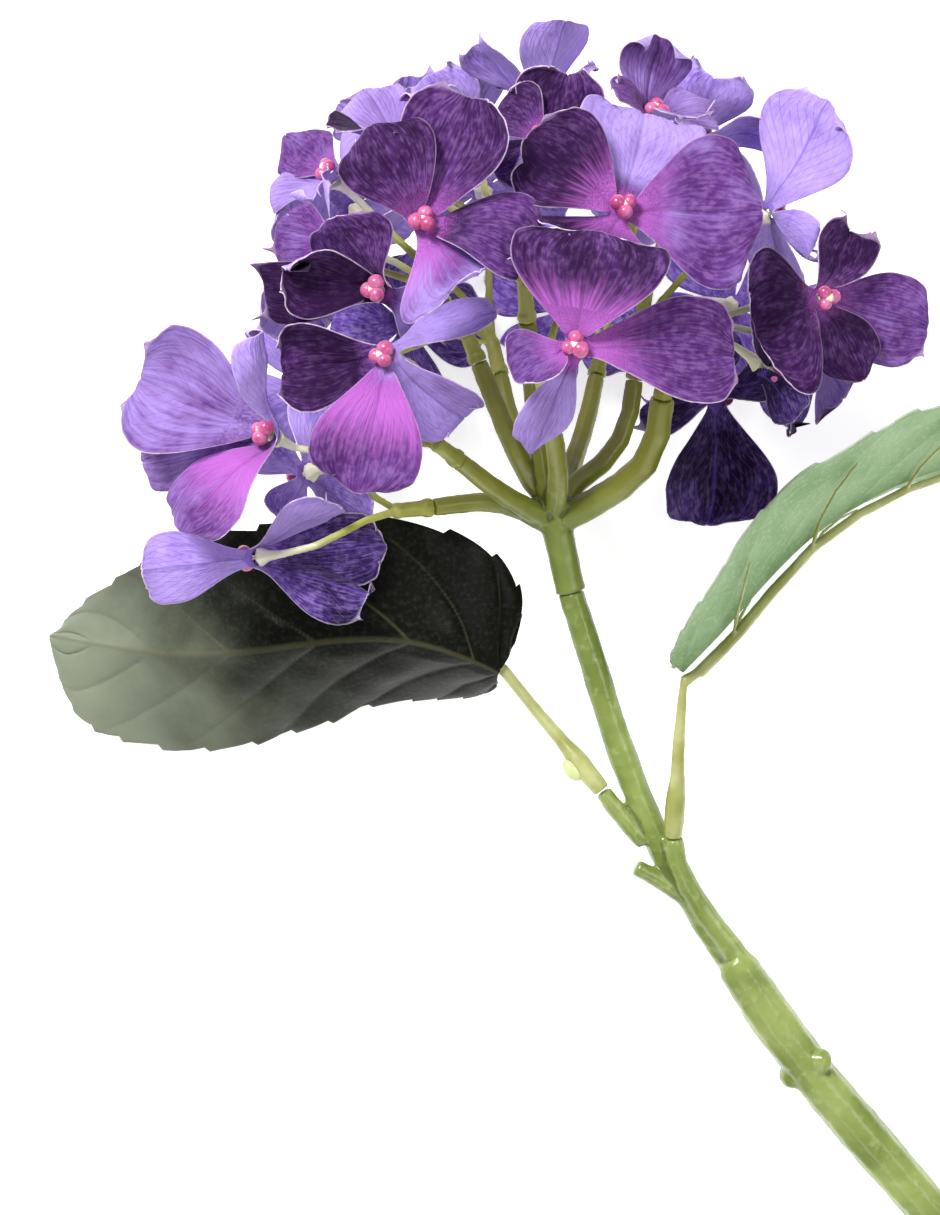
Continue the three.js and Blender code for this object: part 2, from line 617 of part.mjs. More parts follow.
    for (let pass = 0; pass < 4; pass++) {
      links.forEach(([i, j, length, stiffness]) => {
        if (fixed[i] && fixed[j]) return
        offset.subVectors(points[j], points[i])
        const now = offset.length()
        const by = stiffness * (now - length) / now
        const shareI = fixed[i] ? 0 : fixed[j] ? 1 : 0.5
        points[i].addScaledVector(offset, by * shareI)
        points[j].addScaledVector(offset, -by * (fixed[j] ? 0 : 1 - shareI))
      })
    }
    const hold = round < SETTLE_ROUNDS * 0.6 ? 0.02 : 0
    points.forEach((point, i) => {
      if (!fixed[i]) point.lerp(home[i], hold)
      point.z = Math.max(point.z, PETAL_THICKNESS / 2 + 0.01)
    })
  }
  return list.map((_, f) => points.slice(f * FLORET_POINTS, (f + 1) * FLORET_POINTS))
}

// ---------- sheets: a middle surface given its thickness ----------

function sheet(points, quads, thickness) {
  const normals = points.map(() => v(0, 0, 0))
  quads.forEach(([a, b, c, d]) => {
    const normal = points[c].clone().sub(points[a]).cross(points[d].clone().sub(points[b]))
    for (const i of [a, b, c, d]) normals[i].add(normal)
  })
  const front = points.map((p, i) => p.clone().addScaledVector(normals[i].normalize(), thickness / 2))
  const back = points.map((p, i) => p.clone().addScaledVector(normals[i], -thickness / 2))
  const count = points.length
  const edges = new Map()
  const index = []
  quads.forEach(([a, b, c, d]) => {
    index.push(a, b, c, a, c, d)
    index.push(count + a, count + c, count + b, count + a, count + d, count + c)
    for (const [i, j] of [[a, b], [b, c], [c, d], [d, a]]) edges.set(i + '>' + j, [i, j])
  })
  edges.forEach(([i, j]) => {
    if (edges.has(j + '>' + i)) return
    index.push(i, count + j, j, i, count + i, count + j)
  })
  const geometry = new THREE.BufferGeometry().setFromPoints([...front, ...back])
  geometry.setIndex(index)
  geometry.computeVertexNormals()
  return geometry
}

// ---------- umbel ----------

const HUB = v(0, 0, 58)                // the point where the branches part
const COLLAR_END = v(3.6, -16.4, 55)   // the sleeve runs towards this point

function umbel() {
  const down = COLLAR_END.clone().sub(HUB).normalize()
  const end = HUB.clone().addScaledVector(down, COLLAR_LENGTH)
  const sleeve = rod(new THREE.LineCurve3(HUB.clone().addScaledVector(down, -2), end), [
    [0, COLLAR_RADIUS * 0.8], [0.12, COLLAR_RADIUS * 1.05], [0.24, COLLAR_RADIUS * 1.03],
    [0.27, COLLAR_RADIUS * 0.97], [0.9, COLLAR_RADIUS * 0.92], [1, COLLAR_RADIUS * 0.98]], 12)
  const arms = Object.keys(BRANCHES).map(name => rod(branchCurve(name),
    evenly(6, t => branchRadius(name) * mix(1.25, 1, t)), 7))
  const socketTop = end.clone().addScaledVector(down, -SPIGOT_LENGTH - CLEARANCE)
  const socket = rod(new THREE.LineCurve3(socketTop, end.clone().addScaledVector(down, 1)),
    [[0, SPIGOT_RADIUS + CLEARANCE], [1, SPIGOT_RADIUS + CLEARANCE]], 12)
  return joined([sleeve, ball(HUB.toArray(), COLLAR_RADIUS * 1.1), ...arms]).subtract(socket)
}

// ---------- main stem ----------

const STEM_PATH = [[7.1, -27.2, 53], [11.2, -40.7, 51], [16.7, -56.6, 48], [22.9, -71.4, 45],
  [31, -85.2, 42], [38.9, -98, 38], [47, -110, 35]]
const LOWER_PATH = [[40.6, -99.6, 41], [47.7, -110.6, 37], [58, -124.7, 33], [69.8, -138.9, 29.5],
  [94.5, -167.5, 23], [132.8, -212.4, 14.5], [170.7, -259.7, LOWER_RADIUS + 0.6]]
const LEFT_PEG = [[11, -61.5, 49], [14, -65.5, 48], [20.5, -73, 45.5]]
const RIGHT_PEG = [[26.8, -71.9, 49], [28, -78, 47], [33, -87, 43.5], [41, -98, 41], [48, -107, 38]]
const STUB = [[18.6, -78.6, 46], [23, -81, 45], [29.5, -85.5, 43]]
const BUD = [61, -123.4, 36.5]
const KNOT = [55, -127, 32]

function mainStem() {
  const down = COLLAR_END.clone().sub(HUB).normalize()
  const top = HUB.clone().addScaledVector(down, COLLAR_LENGTH + CLEARANCE)
  const spigotTop = top.clone().addScaledVector(down, -SPIGOT_LENGTH)
  const shoulder = top.clone().addScaledVector(down, 3)
  const spigot = rod(new THREE.LineCurve3(spigotTop, shoulder), evenly(2, () => SPIGOT_RADIUS), 12)
  const upper = rod(through([top.toArray(), shoulder.toArray(), ...STEM_PATH]),
    evenly(12, t => STEM_RADIUS * (1 + 0.18 * t + 0.03 * Math.sin(40 * t))), 10)
  const lower = rod(through(LOWER_PATH), [[0, LOWER_RADIUS * 0.6], [0.012, LOWER_RADIUS * 0.88],
    ...evenly(13, t => LOWER_RADIUS * (0.98 + 0.03 * Math.sin(30 * t))).slice(1)], 10)
  const leftPeg = rod(through(LEFT_PEG), evenly(5, t => PEG_RADIUS * mix(1, 1.15, t)), 8)
  const rightPeg = rod(through(RIGHT_PEG), evenly(8, t => PEG_RADIUS * mix(1.1, 1.5, t)), 8)
  const stub = rod(through(STUB), evenly(4, () => PEG_RADIUS), 8)
  return joined([upper, spigot, lower, leftPeg, rightPeg, stub, ball(BUD, 3), ball(KNOT, 3.4)])
}

// ---------- leaves ----------

// A leaf follows its midrib. Each half tilts about it by its own angle, from foot to tip: 0 is
// level, + lifts the edge. Widths are shares of LEAF_WIDTH along the midrib.
const LEAF_OUTLINE = [[0, 0.3], [0.03, 0.6], [0.1, 0.84], [0.2, 0.96], [0.32, 1.02], [0.44, 1.04],
  [0.56, 1.03], [0.68, 1], [0.79, 0.94], [0.88, 0.8], [0.95, 0.5], [1, 0.04]]
const LEAVES = {
  left: {
    midrib: [[-12.4, -34.5, 47], [-31, -27.4, 57], [-45, -26.7, 58], [-63.5, -29.3, 51], [-84, -31, 40],
      [-116, -26.6, 22]],
    near: [-66, -25],
    far: [-8, -14],
    petiole: [[-9.4, -35.6, 45.2], [-5.6, -41.2, 46.4], [1, -49, 48], [7, -56.4, 49], [10.7, -61.1, 49]],
  },
  right: {
    midrib: [[28.3, -34.3, 58], [34.4, -28.7, 60], [42, -20.1, 60.5], [50.1, -10.7, 60], [62.7, 0.7, 57.5],
      [72.5, 5.7, 55], [86.6, 11.4, 51], [104, 14, 44], [120, 11.4, 35], [134, 4.8, 25]],
    near: [-100, -75],
    far: [68, 56],
    petiole: [[27.2, -38, 58.4], [27.7, -45, 57.2], [27.6, -56.3, 54], [27, -66, 51.4],
      [26.8, -71.5, 49.4]],
  },
}

function outlineWidth(share) {
  const next = LEAF_OUTLINE.findIndex(([s]) => s >= share)
  if (next <= 0) return LEAF_OUTLINE[0][1] * LEAF_WIDTH
  const [s0, w0] = LEAF_OUTLINE[next - 1]
  const [s1, w1] = LEAF_OUTLINE[next]
  return mix(w0, w1, (share - s0) / (s1 - s0)) * LEAF_WIDTH
}

// A point of a leaf's middle surface; across runs from -1, the near edge, to 1, the far edge.
function leafPoint(leaf, share, across) {
  const curve = through(leaf.midrib)
  const along = curve.getTangentAt(share)
  const side = v(0, 0, 1).cross(along).normalize()
  if (side.y < 0) side.negate()
  const tilt = (across < 0 ? mix(...leaf.near, share) : mix(...leaf.far, share)) * Math.PI / 180
  const out = side.multiplyScalar(Math.sign(across) * Math.cos(tilt))
  out.z = Math.sin(tilt)
  const back = 0.06 * Math.abs(across) * outlineWidth(share)
  const point = curve.getPointAt(share).addScaledVector(out, Math.abs(across) * outlineWidth(share))
  return point.addScaledVector(along, share < 0.3 ? -back : back)
}

const LEAF_COLUMNS = [-1, -0.66, -0.33, 0, 0.33, 0.66, 1]

function leafBlade(leaf) {
  const shares = LEAF_OUTLINE.map(([share]) => share)
  const points = shares.flatMap(share => LEAF_COLUMNS.map(across => leafPoint(leaf, share, across)))
  const columns = LEAF_COLUMNS.length
  const quads = []
  for (let row = 0; row + 1 < shares.length; row++) {
    for (let column = 0; column + 1 < columns; column++) {
      const corner = row * columns + column
      quads.push([corner, corner + 1, corner + columns + 1, corner + columns])
    }
  }
  return solid(sheet(points, quads, LEAF_THICKNESS))
}

function underNormal(leaf, share, across) {
  const step = 0.02
  const here = leafPoint(leaf, share, across)
  const ahead = leafPoint(leaf, Math.min(1, share + step), across).sub(here)
  const beside = leafPoint(leaf, share, across < 0 ? across - step : across + step).sub(here)
  if (across < 0) beside.negate()
  return ahead.cross(beside).normalize()
}

function leafRibs(leaf) {
  const below = (share, across, radius) => leafPoint(leaf, share, across)
    .addScaledVector(underNormal(leaf, share, across), LEAF_THICKNESS / 2 + RIB_GAP + radius)
  const ridge = share => {
    const normal = underNormal(leaf, share, 0.01).add(underNormal(leaf, share, -0.01)).normalize()
    const fold = underNormal(leaf, share, 0.01).dot(normal)
    const radius = mix(RIB_RADIUS, VEIN_RADIUS, share)
    return leafPoint(leaf, share, 0).addScaledVector(normal, (LEAF_THICKNESS / 2 + RIB_GAP + radius) / fold)
  }
  const shares = [0.02, 0.1, 0.2, 0.32, 0.44, 0.56, 0.68, 0.79, 0.9]
  const midrib = new THREE.CatmullRomCurve3(shares.map(ridge), false, 'centripetal')
  const petiole = new THREE.CatmullRomCurve3([ridge(0.06), ridge(0.02), ...leaf.petiole.map(at)])
  const parts = [
    rod(midrib, evenly(10, t => mix(RIB_RADIUS, VEIN_RADIUS, t)), 6),
    rod(petiole, [[0, RIB_RADIUS * 0.6], [0.08, RIB_RADIUS * 0.7], [0.2, PETIOLE_RADIUS],
      [0.5, PETIOLE_RADIUS], [0.68, PETIOLE_RADIUS * 1.15], [0.8, PEG_RADIUS * 1.15],
      [0.93, PEG_RADIUS * 1.15], [1, PEG_RADIUS]], 8),
  ]
  for (const side of [-1, 1]) {
    for (const start of [0.1, 0.3, 0.5, 0.68]) {
      const run = [0, 0.25, 0.5, 0.75].map(t => (t === 0 ? ridge(start)
        : below(start + 0.16 * t, side * t, VEIN_RADIUS)))
      parts.push(rod(new THREE.CatmullRomCurve3(run), evenly(4, t => mix(VEIN_RADIUS, 0.4, t)), 4))
    }
  }
  return joined(parts)
}

// ---------- the object ----------

const object = new THREE.Group()

function place(name, geometry, material) {
  const mesh = new THREE.Mesh(geometry, material)
  mesh.name = name
  object.add(mesh)
}

const settled = settle(ALL_FLORETS)
Object.keys(ALL_FLORETS).forEach((name, f) => {
  place(name, sheet(settled[f], FLORET_QUADS, PETAL_THICKNESS), petalFabric)
})
Object.keys(BRANCHES).forEach(name => place('spray_' + name, geometryOf(spray(name)), sprayPlastic))
place('umbel', geometryOf(umbel()), stemPlastic)
place('main_stem', geometryOf(mainStem()), stemPlastic)
for (const [side, leaf] of Object.entries(LEAVES)) {
  place('leaf_' + side, geometryOf(leafBlade(leaf)), leafFabric)
  place('leaf_' + side + '_ribs', geometryOf(leafRibs(leaf)), ribPlastic)
}

// The frame's origin is the middle of the object's footprint, on the surface it lies on.
const box = new THREE.Box3().setFromObject(object)
object.position.set(-(box.min.x + box.max.x) / 2, -(box.min.y + box.max.y) / 2, -box.min.z)

export default object
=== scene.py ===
import math
import random

import bmesh
import bpy
import numpy as np
from mathutils import Matrix, Vector, kdtree, noise


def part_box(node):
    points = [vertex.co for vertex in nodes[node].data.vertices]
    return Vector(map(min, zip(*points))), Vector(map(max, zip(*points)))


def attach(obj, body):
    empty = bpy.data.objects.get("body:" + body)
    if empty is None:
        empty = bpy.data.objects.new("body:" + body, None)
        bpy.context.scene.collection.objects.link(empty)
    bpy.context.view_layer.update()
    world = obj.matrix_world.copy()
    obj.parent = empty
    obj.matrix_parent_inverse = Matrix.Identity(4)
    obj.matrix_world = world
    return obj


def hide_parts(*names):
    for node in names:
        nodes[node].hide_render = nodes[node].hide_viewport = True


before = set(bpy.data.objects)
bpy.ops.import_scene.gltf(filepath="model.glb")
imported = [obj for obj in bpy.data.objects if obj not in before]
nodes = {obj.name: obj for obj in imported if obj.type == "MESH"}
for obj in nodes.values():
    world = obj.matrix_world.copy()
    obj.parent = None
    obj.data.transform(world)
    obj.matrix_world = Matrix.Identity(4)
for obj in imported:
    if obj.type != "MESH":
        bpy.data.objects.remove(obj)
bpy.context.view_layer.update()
MM = 0.001


# ---------- main stem ----------
# One moulding: an upper strand and a thick lower one that run side by side, with pegs for the
# leaves, a stub, a bud and a knot. The soft plastic has a waxy, faintly ridged skin.

CREASE_DEPTH = 0.22 * MM    # how deep a crease is where it is darkest
CREASE_STEPS = 14           # how often the skin is smoothed to find its creases


def colour(code):
    """A paint chip written as rrggbb, as the shaders take it."""
    chip = [int(code[i:i + 2], 16) / 255 for i in (0, 2, 4)]
    return (*[c / 12.92 if c < 0.04045 else ((c + 0.055) / 1.055) ** 2.4 for c in chip], 1)


def new_material(name):
    material = bpy.data.materials.new(name)
    material.use_nodes = True
    return material


def add(material, kind, inputs, **settings):
    """Adds a shader node. An input is a number or colour, or the output socket that feeds it."""
    node = material.node_tree.nodes.new("ShaderNode" + kind)
    for key, value in settings.items():
        setattr(node, key, value)
    for key, value in inputs.items():
        if isinstance(value, bpy.types.NodeSocket):
            material.node_tree.links.new(value, node.inputs[key])
        else:
            node.inputs[key].default_value = value
    return node


def finish(material, inputs):
    """Sets the shader's own sockets."""
    shader = material.node_tree.nodes["Principled BSDF"]
    for key, value in inputs.items():
        if isinstance(value, bpy.types.NodeSocket):
            material.node_tree.links.new(value, shader.inputs[key])
        else:
            shader.inputs[key].default_value = value


def tint(material, amount, first, second):
    """first, going over to second as amount goes from 0 to 1."""
    node = material.node_tree.nodes.new("ShaderNodeMix")
    node.data_type = "RGBA"
    for index, value in ((0, amount), (6, first), (7, second)):
        if isinstance(value, bpy.types.NodeSocket):
            material.node_tree.links.new(value, node.inputs[index])
        else:
            node.inputs[index].default_value = value
    return node.outputs[2]


def ease(material, value, low, high, start=0.0, end=1.0):
    """Goes softly from start to end while value goes from low to high."""
    inputs = {"Value": value, "From Min": low, "From Max": high, "To Min": start, "To Max": end}
    return add(material, "MapRange", inputs, interpolation_type="SMOOTHSTEP").outputs["Result"]


def grain(material, scale, detail=2.0):
    """Noise at a scale given in turns a metre."""
    place = add(material, "TexCoord", {}).outputs["Object"]
    return add(material, "TexNoise", {"Vector": place, "Scale": scale, "Detail": detail}).outputs["Fac"]


def relief(material, height, depth):
    return add(material, "Bump", {"Height": height, "Distance": depth, "Strength": 1.0}).outputs["Normal"]


def field_in(material, name):
    """The number that set_field wrote on the skin."""
    return add(material, "Attribute", {}, attribute_name=name).outputs["Fac"]


def points_of(mesh, field="co"):
    values = np.empty(len(mesh.vertices) * 3)
    mesh.vertices.foreach_get(field, values)
    return values.reshape(-1, 3)


def set_points(mesh, points):
    mesh.vertices.foreach_set("co", points.ravel())
    mesh.update()


def set_field(mesh, name, values):
    """A number for each point of the skin, which its material reads."""
    field = mesh.attributes.get(name) or mesh.attributes.new(name, "FLOAT", "POINT")
    field.data.foreach_set("value", np.asarray(values, np.float32))


def waves(points, scale, seed):
    """Smooth noise from -1 to 1 at each point, with scale turns a metre."""
    shift = Vector((seed, 2 * seed, -seed))
    return np.array([noise.noise(Vector(p) * scale + shift) for p in points])


def lift(mesh, heights):
    """Moves each point of the skin out by its height."""
    set_points(mesh, points_of(mesh) + points_of(mesh, "normal") * heights[:, None])


def lay_out(name, data):
    """A new object in the scene."""
    piece = bpy.data.objects.new(name, data)
    bpy.context.scene.collection.objects.link(piece)
    return piece


def evaluated(piece):
    """The piece's mesh with its modifiers applied."""
    mesh = bpy.data.meshes.new_from_object(piece.evaluated_get(bpy.context.evaluated_depsgraph_get()))
    piece.modifiers.clear()
    piece.data = mesh
    return mesh


def moulded(node, name, pitch, rounding):
    """A finely meshed, rounded copy of a CAD node, as it comes from a mould."""
    piece = lay_out(name, node.data.copy())
    shell = bmesh.new()
    shell.from_mesh(piece.data)
    bmesh.ops.remove_doubles(shell, verts=shell.verts, dist=0.01 * MM)
    shell.to_mesh(piece.data)
    shell.free()
    remesh = piece.modifiers.new("Remesh", "REMESH")
    remesh.mode = "VOXEL"
    remesh.voxel_size = pitch
    soften = piece.modifiers.new("Soften", "SMOOTH")
    soften.factor = 0.5
    soften.iterations = rounding
    mesh = evaluated(piece)
    mesh.materials.clear()
    mesh.shade_smooth()
    return piece


def mark_hollows(mesh):
    """Writes how deep each point lies in a crease: how far the smoothed skin passes over it. The skins
    darken these creases as painted shade.
    """
    ends = np.empty(len(mesh.edges) * 2, int)
    mesh.edges.foreach_get("vertices", ends)
    ends = ends.reshape(-1, 2)
    points = points_of(mesh)
    near = np.bincount(ends.ravel(), minlength=len(points))[:, None]
    smooth = points
    for _ in range(CREASE_STEPS):
        total = np.zeros_like(points)
        np.add.at(total, ends[:, 0], smooth[ends[:, 1]])
        np.add.at(total, ends[:, 1], smooth[ends[:, 0]])
        smooth = total / near
    over = ((smooth - points) * points_of(mesh, "normal")).sum(1)
    set_field(mesh, "hollow", np.clip(over / CREASE_DEPTH, 0, 1))


def settle_in(piece, slot, *stands_for):
    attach(piece, "root")
    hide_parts(*stands_for)


stem_skin = new_material("stem_skin")
patches = grain(stem_skin, 60, 3)
streaks = grain(stem_skin, 420, 2)
green = tint(stem_skin, ease(stem_skin, patches, 0.35, 0.65), colour("6f8036"), colour("93a357"))
green = tint(stem_skin, ease(stem_skin, streaks, 0.55, 0.75, 0, 0.45), green, colour("a8b274"))
# Painted shade: the creases between the strands are darkened towards 45551c, as the shade that falls in
# them.
painted_crease_shade = ease(stem_skin, field_in(stem_skin, "hollow"), 0.05, 1.0, 0, 0.7)
green = tint(stem_skin, painted_crease_shade, green, colour("45551c"))
finish(stem_skin, {
    "Base Color": green,
    "Roughness": ease(stem_skin, patches, 0.3, 0.7, 0.25, 0.4),
    "Subsurface Weight": 0.15,
    "Subsurface Radius": (0.002, 0.003, 0.001),
    "Coat Weight": 0.25,
    "Coat Roughness": 0.2,
    "Normal": relief(stem_skin, streaks, 0.15 * MM),
})

stem = moulded(nodes["main_stem"], "stem_moulding", 0.55 * MM, 3)
points = points_of(stem.data)
ridges = 0.22 * waves(points * (1, 1, 3), 150, 3) + 0.1 * waves(points, 500, 8)
lift(stem.data, ridges * MM)
mark_hollows(stem.data)
stem.data.materials.append(stem_skin)
settle_in(stem, "stem_plastic", "main_stem")


# ---------- umbel ----------
# One moulding: a sleeve that is pushed over the stem's top, and nine arms that leave its hub and
# each end in a socket for a spray. The arms turn more yellow than the sleeve.

GREEN_REACH = 12 * MM       # from the sleeve's end, where the yellow begins
YELLOW_REACH = 22 * MM      # and how much further on it is full

umbel_skin = new_material("umbel_skin")
patches = grain(umbel_skin, 90, 3)
green = tint(umbel_skin, field_in(umbel_skin, "yellowing"), colour("74843a"), colour("84852b"))
green = tint(umbel_skin, ease(umbel_skin, patches, 0.4, 0.7, 0, 0.5), green, colour("a0a550"))
# Painted shade: the creases between sleeve, hub and arms are darkened towards 3c4012, as the shade that
# falls in them.
painted_crease_shade = ease(umbel_skin, field_in(umbel_skin, "hollow"), 0.05, 1.0, 0, 0.75)
green = tint(umbel_skin, painted_crease_shade, green, colour("3c4012"))
finish(umbel_skin, {
    "Base Color": green,
    "Roughness": 0.38,
    "Subsurface Weight": 0.15,
    "Subsurface Radius": (0.002, 0.003, 0.001),
    "Coat Weight": 0.2,
    "Coat Roughness": 0.25,
    "Normal": relief(umbel_skin, patches, 0.2 * MM),
})

umbel = moulded(nodes["umbel"], "umbel_moulding", 0.45 * MM, 3)
points = points_of(umbel.data)
sleeve_end = points[points[:, 1].argmin()]
from_sleeve = np.linalg.norm(points - sleeve_end, axis=1)
set_field(umbel.data, "yellowing", np.clip((from_sleeve - GREEN_REACH) / YELLOW_REACH, 0, 1))
lift(umbel.data, 0.12 * MM * waves(points, 400, 5))
mark_hollows(umbel.data)
umbel.data.materials.append(umbel_skin)
settle_in(umbel, "stem_plastic", "umbel")


# ---------- how the florets sit ----------
# Each floret is a stamped piece of fabric with four petals joined round a small hole. Its spray's
# prong ends in a flared calyx behind the hole, and a pin through the hole carries the bead.

PETAL_CLOTH = 0.6 * MM      # thickness of the CAD petals
FUSED, FIRST_ROW = 1, 2     # rings out from the hole: the joined ring, then the petals' rows
PRONG_REACH = 3.2 * MM      # a prong is sought this far from the middle of the hole,
PRONG_NEAR = 4.9 * MM       # and between these distances before and behind the petals
PRONG_FAR = 9.6 * MM

floret_names = sorted(name for name in nodes if name.startswith("floret_"))
spray_names = sorted(name for name in nodes if name.startswith("spray_"))
spray_points = {name: points_of(nodes[name].data) for name in spray_names}


def skins_of(shell):
    """The shell's faces, sorted into the skins that hang together."""
    left = set(shell.faces)
    skins = []
    while left:
        skin = [left.pop()]
        for face in skin:
            near = {f for edge in face.edges for f in edge.link_faces} & left
            skin.extend(near)
            left -= near
        skins.append(skin)
    return skins


def middle_sheet(node, thickness, faces_front):
    """The middle surface of a CAD sheet, with its faces turned to the front."""
    shell = bmesh.new()
    shell.from_mesh(node.data)
    bmesh.ops.remove_doubles(shell, verts=shell.verts, dist=0.01 * MM)
    rim = [face for face in shell.faces
           if any(abs(edge.calc_length() - thickness) < 0.02 * thickness for edge in face.edges)]
    bmesh.ops.delete(shell, geom=rim, context="FACES")
    skins = skins_of(shell)
    front = max(skins, key=faces_front)
    others = [face for skin in skins if skin is not front for face in skin]
    bmesh.ops.delete(shell, geom=others, context="FACES")
    shell.normal_update()
    for vert in shell.verts:
        vert.co -= vert.normal * thickness / 2
    return shell


def rings_from(starts):
    """How many edges each vertex is from the nearest start."""
    rings = {vert: 0 for vert in starts}
    reached = list(starts)
    for vert in reached:
        for edge in vert.link_edges:
            other = edge.other_vert(vert)
            if other not in rings:
                rings[other] = rings[vert] + 1
                reached.append(other)
    return rings


def hole_of(faces):
    """The corners of the small hole in a floret's skin, and where it is and faces."""
    skin = set(faces)
    open_edges = {edge for face in faces for edge in face.edges
                  if sum(f in skin for f in edge.link_faces) == 1}
    loops = []
    while open_edges:
        loop = [open_edges.pop()]
        for edge in loop:
            near = {e for vert in edge.verts for e in vert.link_edges} & open_edges
            loop.extend(near)
            open_edges -= near
        loops.append(loop)
    hole = {vert for edge in min(loops, key=len) for vert in edge.verts}
    middle = sum((vert.co for vert in hole), Vector()) / len(hole)
    facing = sum((face.normal for face in faces if hole & set(face.verts)), Vector()).normalized()
    return hole, middle, facing


def calyx_behind(faces):
    """How much of a calyx lies behind this skin of a floret, less what lies before it."""
    _, middle, facing = hole_of(faces)
    score = 0
    for points in spray_points.values():
        offset = points - np.array(middle)
        height = offset @ np.array(facing)
        out = np.linalg.norm(offset - height[:, None] * np.array(facing), axis=1)
        near = (out < PRONG_REACH) & (abs(height) > PRONG_NEAR) & (abs(height) < PRONG_FAR)
        score -= np.sign(height[near]).sum()
    return score


sheets = {}
seats = {}
for name in floret_names:
    sheets[name] = middle_sheet(nodes[name], PETAL_CLOTH, calyx_behind)
    _, middle, facing = hole_of(sheets[name].faces[:])
    seats[name] = (middle, facing)


# ---------- sprays ----------
# Nine mouldings, each plugged on one arm of the umbel. Every prong swells into a cream calyx that
# flares out under its floret, and goes over into yellow green along its stalk.

CALYX_REACH = 8.5 * MM      # length of the flared part
CALYX_FLARE = 0.95          # how much wider the calyx is at the petals
CALYX_RADIUS = 2.4 * MM     # of the CAD calyx, with some room
CREAM_END, STALK_START = 5, 22      # mm from the petals

spray_skin = new_material("spray_skin")
from_petals = field_in(spray_skin, "from_petals")
patches = grain(spray_skin, 150, 3)
stalk = tint(spray_skin, ease(spray_skin, patches, 0.35, 0.7), colour("8f922f"), colour("b0b255"))
cream = tint(spray_skin, ease(spray_skin, patches, 0.3, 0.7), colour("f0ecd8"), colour("dfe0b4"))
finish(spray_skin, {
    "Base Color": tint(spray_skin, ease(spray_skin, from_petals, CREAM_END, STALK_START), cream, stalk),
    "Roughness": 0.42,
    "Subsurface Weight": 0.25,
    "Subsurface Radius": (0.003, 0.003, 0.002),
    "Coat Weight": 0.15,
    "Coat Roughness": 0.3,
    "Normal": relief(spray_skin, patches, 0.15 * MM),
})

for name in spray_names:
    spray = moulded(nodes[name], name.replace("spray", "prongs"), 0.36 * MM, 2)
    points = points_of(spray.data)
    nearest = np.full(len(points), np.inf)
    for middle, facing in seats.values():
        offset = points - np.array(middle)
        nearest = np.minimum(nearest, np.linalg.norm(offset, axis=1))
        height = offset @ np.array(facing)
        out = offset - height[:, None] * np.array(facing)
        depth = -height / CALYX_REACH
        on_calyx = (depth > 0.05) & (depth < 1) & (np.linalg.norm(out, axis=1) < CALYX_RADIUS)
        flare = np.where(on_calyx, CALYX_FLARE * (1 - np.clip(depth, 0, 1)) ** 1.3, 0)
        points = points + out * flare[:, None]
    set_field(spray.data, "from_petals", nearest / MM)
    set_points(spray.data, points)
    spray.data.materials.append(spray_skin)
    settle_in(spray, "spray_plastic", name)


# ---------- beads ----------
# The heart of each floret is a cluster of three small glossy balls, moulded in coral pink on the
# pin that comes through the petals.

BEAD_HEIGHT = 2.6 * MM      # from the petals to the middle of the cluster
BALL_RADIUS = 1.7 * MM
BALL_SPREAD = 1.45 * MM     # from the middle of the cluster to each ball's


def piece_from(shell, name):
    """Lays out a finished bmesh."""
    mesh = bpy.data.meshes.new(name)
    shell.to_mesh(mesh)
    shell.free()
    return lay_out(name, mesh)


bead_skin = new_material("bead_skin")
blush = grain(bead_skin, 260, 2)
finish(bead_skin, {
    "Base Color": tint(bead_skin, ease(bead_skin, blush, 0.35, 0.7), colour("ae3f74"), colour("cf6f9f")),
    "Roughness": 0.3,
    "Subsurface Weight": 0.2,
    "Subsurface Radius": (0.003, 0.001, 0.001),
    "Coat Weight": 0.3,
    "Coat Roughness": 0.15,
})

dice = random.Random(7)
for name in floret_names:
    middle, facing = seats[name]
    turn = facing.to_track_quat("Z", "Y")
    start = dice.uniform(0, math.tau)
    cluster = bmesh.new()
    for i in range(3):
        radius = BALL_RADIUS * dice.uniform(0.85, 1.1)
        ball = bmesh.ops.create_icosphere(cluster, subdivisions=3, radius=radius)
        angle = start + i * math.tau / 3
        spot = Vector((BALL_SPREAD * math.cos(angle), BALL_SPREAD * math.sin(angle),
                       BEAD_HEIGHT + dice.uniform(-0.3, 0.4) * MM))
        bmesh.ops.translate(cluster, verts=ball["verts"], vec=middle + turn @ spot)
    beads = piece_from(cluster, name.replace("floret", "beads"))
    beads.data.shade_smooth()
    beads.data.materials.append(bead_skin)
    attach(beads, "root")


# ---------- florets ----------
# Stamped from a stiffened dyed fabric and pressed hot: deep purple on the front, with a magenta
# heart and streaks, lavender with violet veins on the reverse, and a bleached cut edge.

CLOTH = 0.26 * MM
ROW_SHARES = [0.0, 0.1, 0.34, 0.6, 0.86, 1.0]     # how far out each ring is, from hole to tip
RUFFLE = 2.2 * MM           # waves all over a petal
CUP = 3.5 * MM              # a petal's hollow from side to side
CURL = 2.5 * MM             # the bend of its tip
RAGGED = 0.9 * MM           # the unevenness of its outline
FOLD, VEIN = 0.45 * MM, 0.14 * MM      # how deep the middle fold and the veins are pressed
VEINS, VEIN_LEAN = 9, 5     # veins from heart to tip, and how many of them one crosses to the side
OUTLINE_PULL = 0.42         # what subdivision takes off a corner of the outline
BEARING_SLACK = 12          # degrees

